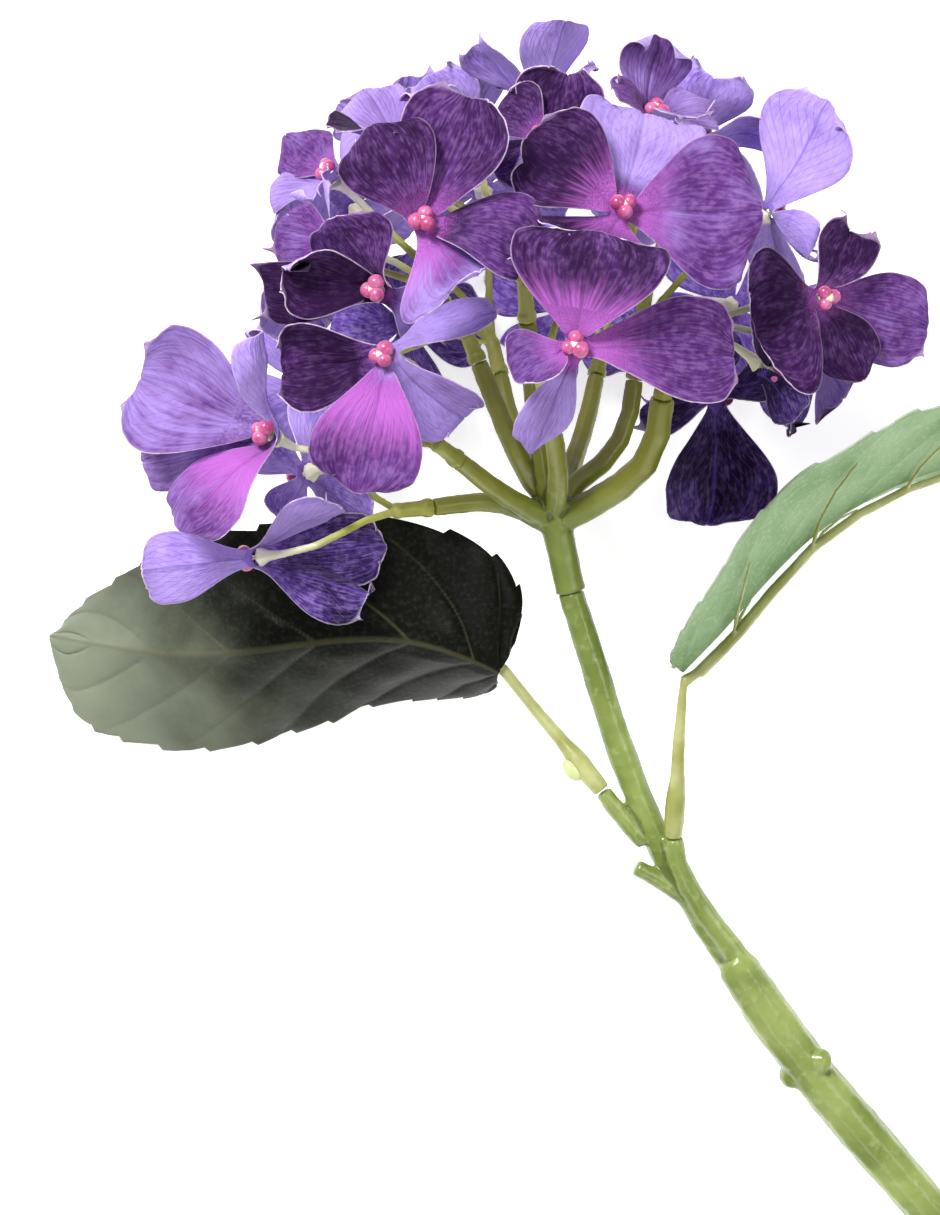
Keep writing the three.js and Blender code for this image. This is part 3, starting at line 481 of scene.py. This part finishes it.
# How far the dye of each side has gone from deep purple, 0, to lavender, 1, and how much magenta
# there is at the heart: front, reverse, magenta. Petals that differ follow, by their bearing in
# plan in degrees, anticlockwise from +X.
PLAIN_DYE = (0.5, 0.8, 0.3)
DYES = {
    "floret_front_top": (0.02, 0.8, 0.75, {
        70: (0.18, 0.8, 0.75), -9: (0.28, 0.8, 0.5), -94: (0.85, 0.9, 1.1)}),
    "floret_front_left": (0.04, 0.8, 0.3, {116: (0.15, 0.8, 0.35), -21: (0.85, 0.9, 0.3)}),
    "floret_left_upper": (0.9, 0.95, 0.3, {167: (0.4, 0.8, 0.9)}),
    "floret_left_crest": (0.85, 0.9, 0.3, {140: (0.4, 0.75, 0.9)}),
    "floret_crest_left": (0.5, 0.7, 0.4, {
        169: (0.02, 0.4, 0.3), 121: (0.85, 0.9, 0.3), -119: (0.2, 0.5, 0.5)}),
    "floret_crest": (0.08, 0.3, 0.8),
    "floret_tip": (0.85, 0.85, 0.4, {140: (0.35, 0.8, 0.7)}),
    "floret_crest_right": (0.7, 0.85, 0.4, {144: (0.3, 0.8, 0.9)}),
    "floret_front_right": (0.08, 0.8, 0.95, {-32: (0.5, 0.8, 0.9), 76: (0.95, 0.95, 0.2)}),
    "floret_front_low": (0.04, 0.8, 1.05, {
        -2: (0.32, 0.8, 0.95), -155: (0.4, 0.8, 1.1), -117: (0.9, 0.9, 0.4)}),
    "floret_right": (0.08, 0.6, 0.6, {-14: (0.5, 0.7, 0.85)}),
    "floret_right_rim": (0.95, 0.95, 0.2),
    "floret_left_front": (0.9, 0.95, 0.2, {-174: (0.0, 0.8, 0.25), -104: (0.36, 0.85, 1.4)}),
    "floret_left": (0.68, 0.85, 0.3, {-131: (0.6, 0.9, 1.45)}),
    # These three under the head have their reverse set darker than lavender: painted shade where the head
    # shades them.
    "floret_under_left": (0.1, 0.3, 0.3),
    "floret_under_middle": (0.2, 0.4, 0.3),
    "floret_under_right": (0.3, 0.5, 0.3),
    # The two lower petals of this floret get a dark reverse: partly their own medium-dark violet, partly
    # painted shade.
    "floret_left_low": (0.9, 0.95, 0.2, {-20: (0.1, 0.12, 0.2), 6: (0.1, 0.15, 0.2)}),
    "floret_left_rim": (0.9, 0.9, 0.2),
    "floret_left_under": (0.6, 0.7, 0.2),
    # These two at the right, under the head, have their reverse set near deep purple: painted shade.
    "floret_right_under": (0.15, 0.12, 0.1),
    "floret_right_small": (0.1, 0.12, 0.1),
}


def reckon(material, operation, *inputs):
    return add(material, "Math", dict(enumerate(inputs)), operation=operation).outputs[0]


def strokes(material, across, outwards, shift, scale):
    """Noise drawn out along a petal, and different on each petal."""
    flow = add(material, "CombineXYZ", {
        "X": reckon(material, "MULTIPLY", field_in(material, "side"), across),
        "Y": reckon(material, "MULTIPLY", field_in(material, "along"), outwards),
        "Z": reckon(material, "MULTIPLY", field_in(material, "petal"), shift),
    }).outputs["Vector"]
    return add(material, "TexNoise", {"Vector": flow, "Scale": scale, "Detail": 4.0}).outputs["Fac"]


def petal_paint(material, dye_name, dark, purple, lavender, dusty, magenta):
    """Dye that runs from the heart outwards in streaks, mottled with short strokes."""
    fibres = strokes(material, 5.0, 0.9, 3.7, 3.4)
    speckle = grain(material, 600, 4)
    mottle = reckon(material, "MULTIPLY_ADD", speckle, 0.8, strokes(material, 21.0, 10.0, 2.3, 1.0))
    dye = reckon(material, "MULTIPLY_ADD", grain(material, 85, 3), 0.9, field_in(material, dye_name))
    dye = reckon(material, "MULTIPLY_ADD", fibres, 0.5, dye)
    shade = tint(material, ease(material, dye, 0.62, 1.25), dark, purple)
    shade = tint(material, ease(material, dye, 1.15, 1.7), shade, lavender)
    light_strokes = reckon(material, "MULTIPLY", ease(material, mottle, 0.82, 1.12, 0, 0.45),
                           ease(material, dye, 0.5, 1.2, 0.1, 1))
    shade = tint(material, light_strokes, shade, dusty)
    dark_strokes = reckon(material, "MULTIPLY", ease(material, mottle, 0.9, 0.68, 0, 0.4),
                          ease(material, dye, 1.0, 1.5, 1, 0.1))
    shade = tint(material, dark_strokes, shade, dark)
    spread = reckon(material, "MULTIPLY_ADD", fibres, 0.5, field_in(material, "along"))
    spread = reckon(material, "MULTIPLY_ADD", spread, -1.9, 0.5)
    heart = reckon(material, "MULTIPLY_ADD", field_in(material, "magenta"), 1.1, spread)
    shade = tint(material, ease(material, heart, 0, 0.85), shade, magenta)
    return shade, reckon(material, "MULTIPLY_ADD", speckle, 0.5, fibres)


def vein_lines(material):
    """Fine veins that leave the middle line and lean outwards to the edge."""
    lean = reckon(material, "MULTIPLY", field_in(material, "along"), float(VEINS))
    away = reckon(material, "ABSOLUTE", field_in(material, "side"))
    phase = reckon(material, "MULTIPLY_ADD", away, -float(VEIN_LEAN), lean)
    ripple = reckon(material, "SINE", reckon(material, "MULTIPLY", phase, math.pi))
    branches = ease(material, reckon(material, "ABSOLUTE", ripple), 0.0, 0.22, 1.0, 0.0)
    return reckon(material, "MAXIMUM", branches, ease(material, away, 0.0, 0.05, 1.0, 0.0))


def petal_edge(material, amount):
    """A paler line along the cut edge."""
    return ease(material, field_in(material, "edge_gap"), 0.02, 0.3, amount, 0.0)


front_cloth = new_material("petal_front")
shade, weave = petal_paint(front_cloth, "front_dye", colour("260a34"), colour("5f347c"),
                           colour("a78fd8"), colour("8f6ba4"), colour("ae5fba"))
veins = reckon(front_cloth, "MULTIPLY", vein_lines(front_cloth), 0.25)
shade = tint(front_cloth, veins, shade, colour("2c1438"))
shade = tint(front_cloth, petal_edge(front_cloth, 0.5), shade, colour("c3a6cc"))
finish(front_cloth, {
    "Base Color": shade,
    "Roughness": 0.7,
    "Specular IOR Level": 0.08,
    "Sheen Weight": 0.03,
    "Sheen Roughness": 0.5,
    "Normal": relief(front_cloth, weave, 0.35 * MM),
})

back_cloth = new_material("petal_reverse")
shade, weave = petal_paint(back_cloth, "reverse_dye", colour("1e0c30"), colour("7452b0"),
                           colour("ad92dc"), colour("b9a6e4"), colour("b067c0"))
veins = reckon(back_cloth, "MULTIPLY", vein_lines(back_cloth), 0.55)
shade = tint(back_cloth, veins, shade, colour("6848ae"))
shade = tint(back_cloth, petal_edge(back_cloth, 0.45), shade, colour("d9c9ec"))
finish(back_cloth, {
    "Base Color": shade,
    "Roughness": 0.78,
    "Specular IOR Level": 0.1,
    "Sheen Weight": 0.03,
    "Sheen Roughness": 0.5,
    "Normal": relief(back_cloth, weave, 0.3 * MM),
})

cut_edge = new_material("petal_cut_edge")
finish(cut_edge, {
    "Base Color": tint(cut_edge, ease(cut_edge, grain(cut_edge, 700), 0.35, 0.65),
                       colour("b394bd"), colour("ddcbdd")),
    "Roughness": 0.85,
})


def mark_petals(sheet, name):
    """Writes on each corner of a floret how far out, how far aside and in which petal it is."""
    keys = ("along", "side", "petal", "front_dye", "reverse_dye", "magenta")
    for key in keys:
        sheet.verts.layers.float.new(key)
    layers = {key: sheet.verts.layers.float[key] for key in keys}
    hole, middle, facing = hole_of(sheet.faces[:])
    rings = rings_from(list(hole))
    front, reverse, magenta, *others = DYES.get(name, PLAIN_DYE)
    chance = random.Random(name)
    for vert in sheet.verts:
        vert[layers["along"]] = ROW_SHARES[min(rings[vert], len(ROW_SHARES) - 1)]
        vert[layers["front_dye"]] = front
        vert[layers["reverse_dye"]] = reverse
        vert[layers["magenta"]] = magenta
    petal_of = {}
    middles = set()
    number = 0
    left = {vert for vert in sheet.verts if rings[vert] >= FIRST_ROW}
    while left:
        petal = [min(left, key=lambda vert: math.atan2(vert.co.y - middle.y, vert.co.x - middle.x))]
        left.remove(petal[0])
        for vert in petal:
            near = {edge.other_vert(vert) for edge in vert.link_edges} & left
            petal.extend(near)
            left -= near
        number += 1
        tip = max(petal, key=lambda vert: (vert.co - middle).length).co - middle
        across = facing.cross(tip).normalized()
        drift = chance.uniform(-0.08, 0.08)
        bearing = math.degrees(math.atan2(tip.y, tip.x))
        dye = (front, reverse, magenta)
        for other, differing in (others[0].items() if others else ()):
            if abs((bearing - other + 180) % 360 - 180) < BEARING_SLACK:
                dye = differing
        for vert in petal:
            beside = [edge.other_vert(vert) for edge in vert.link_edges
                      if rings[edge.other_vert(vert)] == rings[vert]]
            petal_of[vert] = number
            vert[layers["petal"]] = number
            vert[layers["front_dye"]] = dye[0] + drift
            vert[layers["reverse_dye"]] = dye[1] + drift
            vert[layers["magenta"]] = dye[2]
            if len(beside) == 2:
                middles.add(vert)
            else:
                vert[layers["side"]] = 1 if (vert.co - beside[0].co).dot(across) > 0 else -1
    for vert in sheet.verts:
        reached = {petal_of[other] for other in (edge.other_vert(vert) for edge in vert.link_edges)
                   if other in petal_of}
        if rings[vert] == FUSED and len(reached) == 1:
            middles.add(vert)
    slanting = [edge for edge in sheet.edges
                if min(rings[vert] for vert in edge.verts) >= FUSED
                and rings[edge.verts[0]] != rings[edge.verts[1]]
                and (edge.verts[0] in middles) != (edge.verts[1] in middles)]
    for vert in hole:
        outwards = [edge for edge in vert.link_edges if rings[edge.other_vert(vert)] == FUSED]
        if len(outwards) > 1:
            slanting.append(max(outwards, key=lambda edge: edge.calc_length()))
    bmesh.ops.dissolve_edges(sheet, edges=slanting, use_verts=False)


def widen_outline(sheet):
    """Subdivision draws an outline in, so its corners are first pushed out by as much."""
    moves = {}
    for vert in sheet.verts:
        beside = [edge.other_vert(vert).co for edge in vert.link_edges if edge.is_boundary]
        if len(beside) == 2:
            moves[vert] = (vert.co - (beside[0] + beside[1]) / 2) * OUTLINE_PULL
    for vert, move in moves.items():
        vert.co += move


def subdivided(piece, levels):
    fine = piece.modifiers.new("Subdivision", "SUBSURF")
    fine.levels = fine.render_levels = levels
    return evaluated(piece)


def field_of(mesh, name):
    """The number that each point of the skin carries."""
    values = np.empty(len(mesh.vertices))
    mesh.attributes[name].data.foreach_get("value", values)
    return values


def tree_of(spots):
    """Finds the nearest of these spots."""
    tree = kdtree.KDTree(len(spots))
    for i, spot in enumerate(spots):
        tree.insert(spot, i)
    tree.balance()
    return tree


def give_wall(piece, thickness, *cloths):
    """Makes a cloth of a sheet, with its front, reverse and cut edge."""
    for cloth in cloths:
        piece.data.materials.append(cloth)
    piece.data.shade_smooth()
    wall = piece.modifiers.new("Cloth", "SOLIDIFY")
    wall.thickness = thickness
    wall.offset = 0
    wall.material_offset = 1
    wall.material_offset_rim = 2


def press_petals(mesh, middle, seed):
    """Presses veins, ruffles and a ragged outline into the smooth sheet."""
    shell = bmesh.new()
    shell.from_mesh(mesh)
    outline = [vert.co.copy() for vert in shell.verts
               if vert.is_boundary and (vert.co - middle).length > 4 * MM]
    shell.free()
    tree = tree_of(outline)
    points = points_of(mesh)
    normals = points_of(mesh, "normal")
    gap = np.array([tree.find(p)[2] for p in points]) / MM
    along, side = field_of(mesh, "along"), field_of(mesh, "side")
    petal = np.round(field_of(mesh, "petal"))
    free = np.clip((along - 0.25) / 0.6, 0, 1)
    cup = CUP * np.sin(2.1 * petal + seed) * (side ** 2 - 0.3)
    curl = CURL * np.sin(3.3 * petal + 2 * seed + 1) * np.clip((along - 0.55) / 0.45, 0, 1) ** 2
    ruffle = RUFFLE * (0.9 * waves(points, 70, seed) + 0.3 * waves(points, 190, seed + 4))
    height = free * (cup + curl + ruffle)
    height -= FOLD * np.exp(-(side / 0.07) ** 2) * np.clip(along * 4, 0, 1)
    bars = np.abs(np.sin(math.pi * (VEINS * along - VEIN_LEAN * np.abs(side))))
    height -= VEIN * np.exp(-(bars / 0.25) ** 2) * free
    height += 0.5 * MM * np.exp(-(gap / 1.2) ** 2) * waves(points, 60, seed + 9)
    out = points - np.array(middle)
    out -= normals * (out * normals).sum(1)[:, None]
    out /= np.maximum(np.linalg.norm(out, axis=1), 1e-6)[:, None]
    nicks = waves(points, 130, seed + 2) + 0.5 * waves(points, 420, seed)
    ragged = RAGGED * np.exp(-gap / 2.5) * nicks
    set_points(mesh, points + normals * height[:, None] + out * (ragged * free)[:, None])
    set_field(mesh, "edge_gap", gap)


for number, name in enumerate(floret_names):
    mark_petals(sheets[name], name)
    widen_outline(sheets[name])
    petals = piece_from(sheets[name], name.replace("floret", "petals"))
    mesh = subdivided(petals, 3 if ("under_" in name) else 4)
    press_petals(mesh, seats[name][0], 3.7 * number)
    give_wall(petals, CLOTH, front_cloth, back_cloth, cut_edge)
    settle_in(petals, "petal_fabric", name)


# ---------- leaves ----------
# Two pressed fabric leaves with a serrated edge. The upper side is a dark green with a satin face,
# painted near-black towards the foot as painted shade and grey green towards the tip and one side as a
# painted sheen; the underside is a pale raw green.

LEAF_CLOTH = 0.8 * MM       # thickness of the CAD leaves
LEAF_SKIN = 0.5 * MM
TEETH = 15                  # along each edge
TOOTH = 1.5 * MM
SIDE_VEINS = 7
POINTED = {"left": -1, "right": 0}     # which half narrows to the tip
POINT_START = 0.66          # how far along the leaf that half begins to narrow
POINT_LOSS = 0.8            # and how much of its width it has lost at the tip
MIDRIB_CREASE = 0.9


def ribs_behind(ribs_name):
    """A test for the upper skin of a leaf: its ribs lie behind it."""
    ribs = points_of(nodes[ribs_name].data)

    def test(faces):
        tree = tree_of([face.calc_center_median() for face in faces])
        score = 0
        for spot in ribs:
            near, i, gap = tree.find(spot)
            if gap < 6 * MM:
                score -= math.copysign(1, (Vector(spot) - near).dot(faces[i].normal))
        return score
    return test


def mark_leaf(sheet, hub):
    """Writes on each corner of a leaf how far it is from the foot and to which side."""
    for key in ("along", "side"):
        sheet.verts.layers.float.new(key)
    along_layer = sheet.verts.layers.float["along"]
    side_layer = sheet.verts.layers.float["side"]
    edge_verts = [vert for vert in sheet.verts if vert.is_boundary]
    corners = sorted(edge_verts, key=lambda vert: len(vert.link_edges))[:4]
    near_foot, other_foot, *tips = sorted(corners, key=lambda vert: (vert.co - hub).length)
    edge_walk = {}
    for corner in (near_foot, other_foot):
        steps = {corner: 0}
        reached = [corner]
        for vert in reached:
            for edge in vert.link_edges:
                other = edge.other_vert(vert)
                if edge.is_boundary and other not in steps:
                    steps[other] = steps[vert] + 1
                    reached.append(other)
        edge_walk[corner] = steps
    wide = edge_walk[near_foot][other_foot]
    near_tip = min(tips, key=lambda tip: edge_walk[near_foot][tip])
    long = edge_walk[near_foot][near_tip]
    foot_row = [vert for vert in edge_verts
                if edge_walk[near_foot][vert] + edge_walk[other_foot][vert] == wide]
    side_column = [vert for vert in edge_verts
                   if edge_walk[near_foot][vert] <= long and vert not in foot_row[1:]
                   and edge_walk[other_foot][vert] == edge_walk[near_foot][vert] + wide] + [near_foot]
    rows = rings_from(foot_row)
    columns = rings_from(list(dict.fromkeys(side_column)))
    for vert in sheet.verts:
        vert[along_layer] = rows[vert] / long
        vert[side_layer] = 2 * columns[vert] / wide - 1
    slanting = [edge for edge in sheet.edges
                if rows[edge.verts[0]] != rows[edge.verts[1]]
                and columns[edge.verts[0]] != columns[edge.verts[1]]]
    bmesh.ops.dissolve_edges(sheet, edges=slanting, use_verts=False)
    sheet.edges.layers.float.new("crease_edge")
    fold = sheet.edges.layers.float["crease_edge"]
    for edge in sheet.edges:
        if all(abs(vert[side_layer]) < 0.01 for vert in edge.verts):
            edge[fold] = MIDRIB_CREASE


leaf_top = new_material("leaf_upper")
vein = field_in(leaf_top, "vein")
clouds = grain(leaf_top, 45, 4)
fine = grain(leaf_top, 900, 3)
# Painted light: near-black 0e1009 towards the foot is painted shade, and grey green 828975 towards the
# tip and one side is a painted sheen.
painted_shade_and_sheen = reckon(leaf_top, "MULTIPLY_ADD", clouds, 0.5, field_in(leaf_top, "along"))
painted_shade_and_sheen = reckon(leaf_top, "MULTIPLY_ADD", field_in(leaf_top, "side"), 0.16, painted_shade_and_sheen)
green = tint(leaf_top, ease(leaf_top, painted_shade_and_sheen, 0.65, 1.25), colour("0e1009"), colour("828975"))
green = tint(leaf_top, ease(leaf_top, fine, 0.45, 0.75, 0, 0.05), green, colour("868e78"))
green = tint(leaf_top, ease(leaf_top, vein, 0.3, 1.0, 0, 0.4), green, colour("66654a"))
finish(leaf_top, {
    "Base Color": green,
    "Roughness": ease(leaf_top, clouds, 0.3, 0.7, 0.28, 0.4),
    "Specular IOR Level": 0.1,
    "Normal": relief(leaf_top, fine, 0.08 * MM),
})

leaf_under = new_material("leaf_underside")
vein = field_in(leaf_under, "vein")
clouds = grain(leaf_under, 70, 4)
fine = grain(leaf_under, 900, 3)
green = tint(leaf_under, ease(leaf_under, clouds, 0.3, 0.7), colour("7b9f68"), colour("98b786"))
green = tint(leaf_under, ease(leaf_under, fine, 0.5, 0.7, 0, 0.3), green, colour("bcd3a8"))
green = tint(leaf_under, ease(leaf_under, vein, 0.3, 1.0, 0, 0.5), green, colour("6f9157"))
finish(leaf_under, {
    "Base Color": green,
    "Roughness": 0.7,
    "Sheen Weight": 0.1,
    "Normal": relief(leaf_under, fine, 0.3 * MM),
})

leaf_edge = new_material("leaf_cut_edge")
finish(leaf_edge, {
    "Base Color": tint(leaf_edge, grain(leaf_edge, 500), colour("7f9276"), colour("b9c2ab")),
    "Roughness": 0.8,
})

hub = sum(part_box("umbel"), Vector()) / 2
for number, which in enumerate(("left", "right")):
    sheet = middle_sheet(nodes["leaf_" + which], LEAF_CLOTH, ribs_behind(f"leaf_{which}_ribs"))
    mark_leaf(sheet, hub)
    widen_outline(sheet)
    blade = piece_from(sheet, f"blade_{which}")
    mesh = subdivided(blade, 4)
    points = points_of(mesh)
    normals = points_of(mesh, "normal")
    along, side = field_of(mesh, "along"), field_of(mesh, "side")
    away = np.abs(side)
    phase = SIDE_VEINS * (along - 0.22 * away) + 0.1
    bars = np.abs(phase - np.round(phase)) / SIDE_VEINS
    vein = np.maximum(np.exp(-(bars / 0.006) ** 2) * (1 - 0.5 * away), np.exp(-(away / 0.035) ** 2))
    puff = np.abs(np.sin(math.pi * phase)) * np.sqrt(np.clip(away, 0, 1)) * (1 - away ** 4)
    height = (1.0 * puff - 0.4 * vein + 1.2 * waves(points, 28, 5.0 * number)
              + 0.35 * waves(points, 120, 7) + 1.4 * away ** 3 * waves(points, 75, 11)) * MM
    height = height * np.clip(away / 0.15, 0, 1) + 0.15 * MM
    tooth = (along * TEETH) % 1
    tree = tree_of(points[away < 0.02])
    outwards = np.array([np.array(p) - np.array(tree.find(p)[0]) for p in points])
    late = np.clip((along - POINT_START) / (1 - POINT_START), 0, 1)
    taper = POINT_LOSS * late * (side * POINTED[which] > 0)
    points = points - outwards * taper[:, None]
    outwards /= np.maximum(np.linalg.norm(outwards, axis=1), 1e-6)[:, None]
    saw = TOOTH * (tooth - 0.5) * np.clip((away - 0.8) / 0.2, 0, 1) ** 2
    set_points(mesh, points + normals * height[:, None] + outwards * saw[:, None])
    set_field(mesh, "vein", vein)
    give_wall(blade, LEAF_SKIN, leaf_top, leaf_under, leaf_edge)
    settle_in(blade, "leaf_fabric", "leaf_" + which)


# ---------- leaf ribs ----------
# A moulded petiole, midrib and side veins in one piece, glued under each leaf. The petiole's foot
# is a socket that butts on its peg on the stem.

rib_skin = new_material("rib_skin")
patches = grain(rib_skin, 120, 3)
yellow = tint(rib_skin, ease(rib_skin, patches, 0.35, 0.7), colour("979b50"), colour("bcbe80"))
finish(rib_skin, {
    "Base Color": yellow,
    "Roughness": 0.4,
    "Subsurface Weight": 0.2,
    "Subsurface Radius": (0.003, 0.003, 0.001),
    "Coat Weight": 0.2,
    "Coat Roughness": 0.25,
    "Normal": relief(rib_skin, patches, 0.2 * MM),
})

for which in ("left", "right"):
    ribs = moulded(nodes[f"leaf_{which}_ribs"], f"ribs_{which}", 0.36 * MM, 2)
    lift(ribs.data, 0.1 * MM * waves(points_of(ribs.data), 350, 2))
    ribs.data.materials.append(rib_skin)
    settle_in(ribs, "rib_plastic", f"leaf_{which}_ribs")


# ---------- glue ----------
# The socket of the left leaf is fixed to its peg with hot glue. A flattened drop of it squeezed
# out beside the socket and set there.

GLUE_PLACE = (-25.2 * MM, 20.8 * MM, 48.0 * MM)
GLUE_RADIUS = 2.3 * MM
GLUE_TURN = math.radians(-52)       # to lie along the petiole

glue_skin = new_material("hot_glue")
finish(glue_skin, {
    "Base Color": tint(glue_skin, grain(glue_skin, 300), colour("c3ce86"), colour("dde2b4")),
    "Roughness": 0.25,
    "Subsurface Weight": 0.5,
    "Subsurface Radius": (0.003, 0.003, 0.002),
    "Coat Weight": 0.3,
    "Coat Roughness": 0.1,
})
drop = bmesh.new()
bmesh.ops.create_icosphere(drop, subdivisions=4, radius=GLUE_RADIUS)
bmesh.ops.scale(drop, vec=(1.25, 0.8, 0.8), verts=drop.verts)
bmesh.ops.rotate(drop, cent=(0, 0, 0), matrix=Matrix.Rotation(GLUE_TURN, 3, "Z"), verts=drop.verts)
bmesh.ops.translate(drop, vec=GLUE_PLACE, verts=drop.verts)
glue = piece_from(drop, "glue_bead")
glue.data.shade_smooth()
lift(glue.data, 0.35 * MM * waves(points_of(glue.data), 300, 8))
glue.data.materials.append(glue_skin)
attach(glue, "root")


# ---------- floor, light and camera ----------
# The stem lies on a wide pale board under three soft lamps and a white sky, and is seen from
# straight above.

FLOOR_DROP = 0.5 * MM       # clear of the petals that touch it
CAMERA_PLACE = (-0.0481, 0.0574, 0.9689)
LENS = 121.2

board = bmesh.new()
bmesh.ops.create_grid(board, x_segments=1, y_segments=1, size=3)
floor = piece_from(board, "floor")
floor.location.z = -FLOOR_DROP
paper = new_material("paper")
finish(paper, {
    "Base Color": tint(paper, grain(paper, 6), (0.93, 0.93, 0.93, 1), (0.96, 0.96, 0.96, 1)),
    "Roughness": 0.9,
    "Emission Color": (1, 1, 1, 1),
    "Emission Strength": 0.55,
})
floor.data.materials.append(paper)


def lamp(name, place, size, power):
    light = bpy.data.lights.new(name, "AREA")
    light.size = size
    light.energy = power
    holder = lay_out(name, light)
    holder.location = place
    holder.rotation_euler = (-Vector(place)).to_track_quat("-Z", "Y").to_euler()


lamp("key", (-0.6, 0.8, 1.1), 0.4, 25)
lamp("fill", (0.9, 0.1, 1.2), 0.8, 6)
lamp("low", (0.1, -1.1, 0.7), 0.8, 4)

world = bpy.data.worlds.new("studio")
world.use_nodes = True
sky = world.node_tree.nodes["Background"].inputs
sky["Color"].default_value = (1, 1, 1, 1)
sky["Strength"].default_value = 0.36
bpy.context.scene.world = world
bpy.context.scene.view_settings.view_transform = "Standard"

view = bpy.data.cameras.new("camera")
view.lens = LENS
view.sensor_fit = "VERTICAL"
view.sensor_height = 36
view.clip_start = 0.01
camera = lay_out("camera", view)
camera.location = CAMERA_PLACE
bpy.context.scene.camera = camera
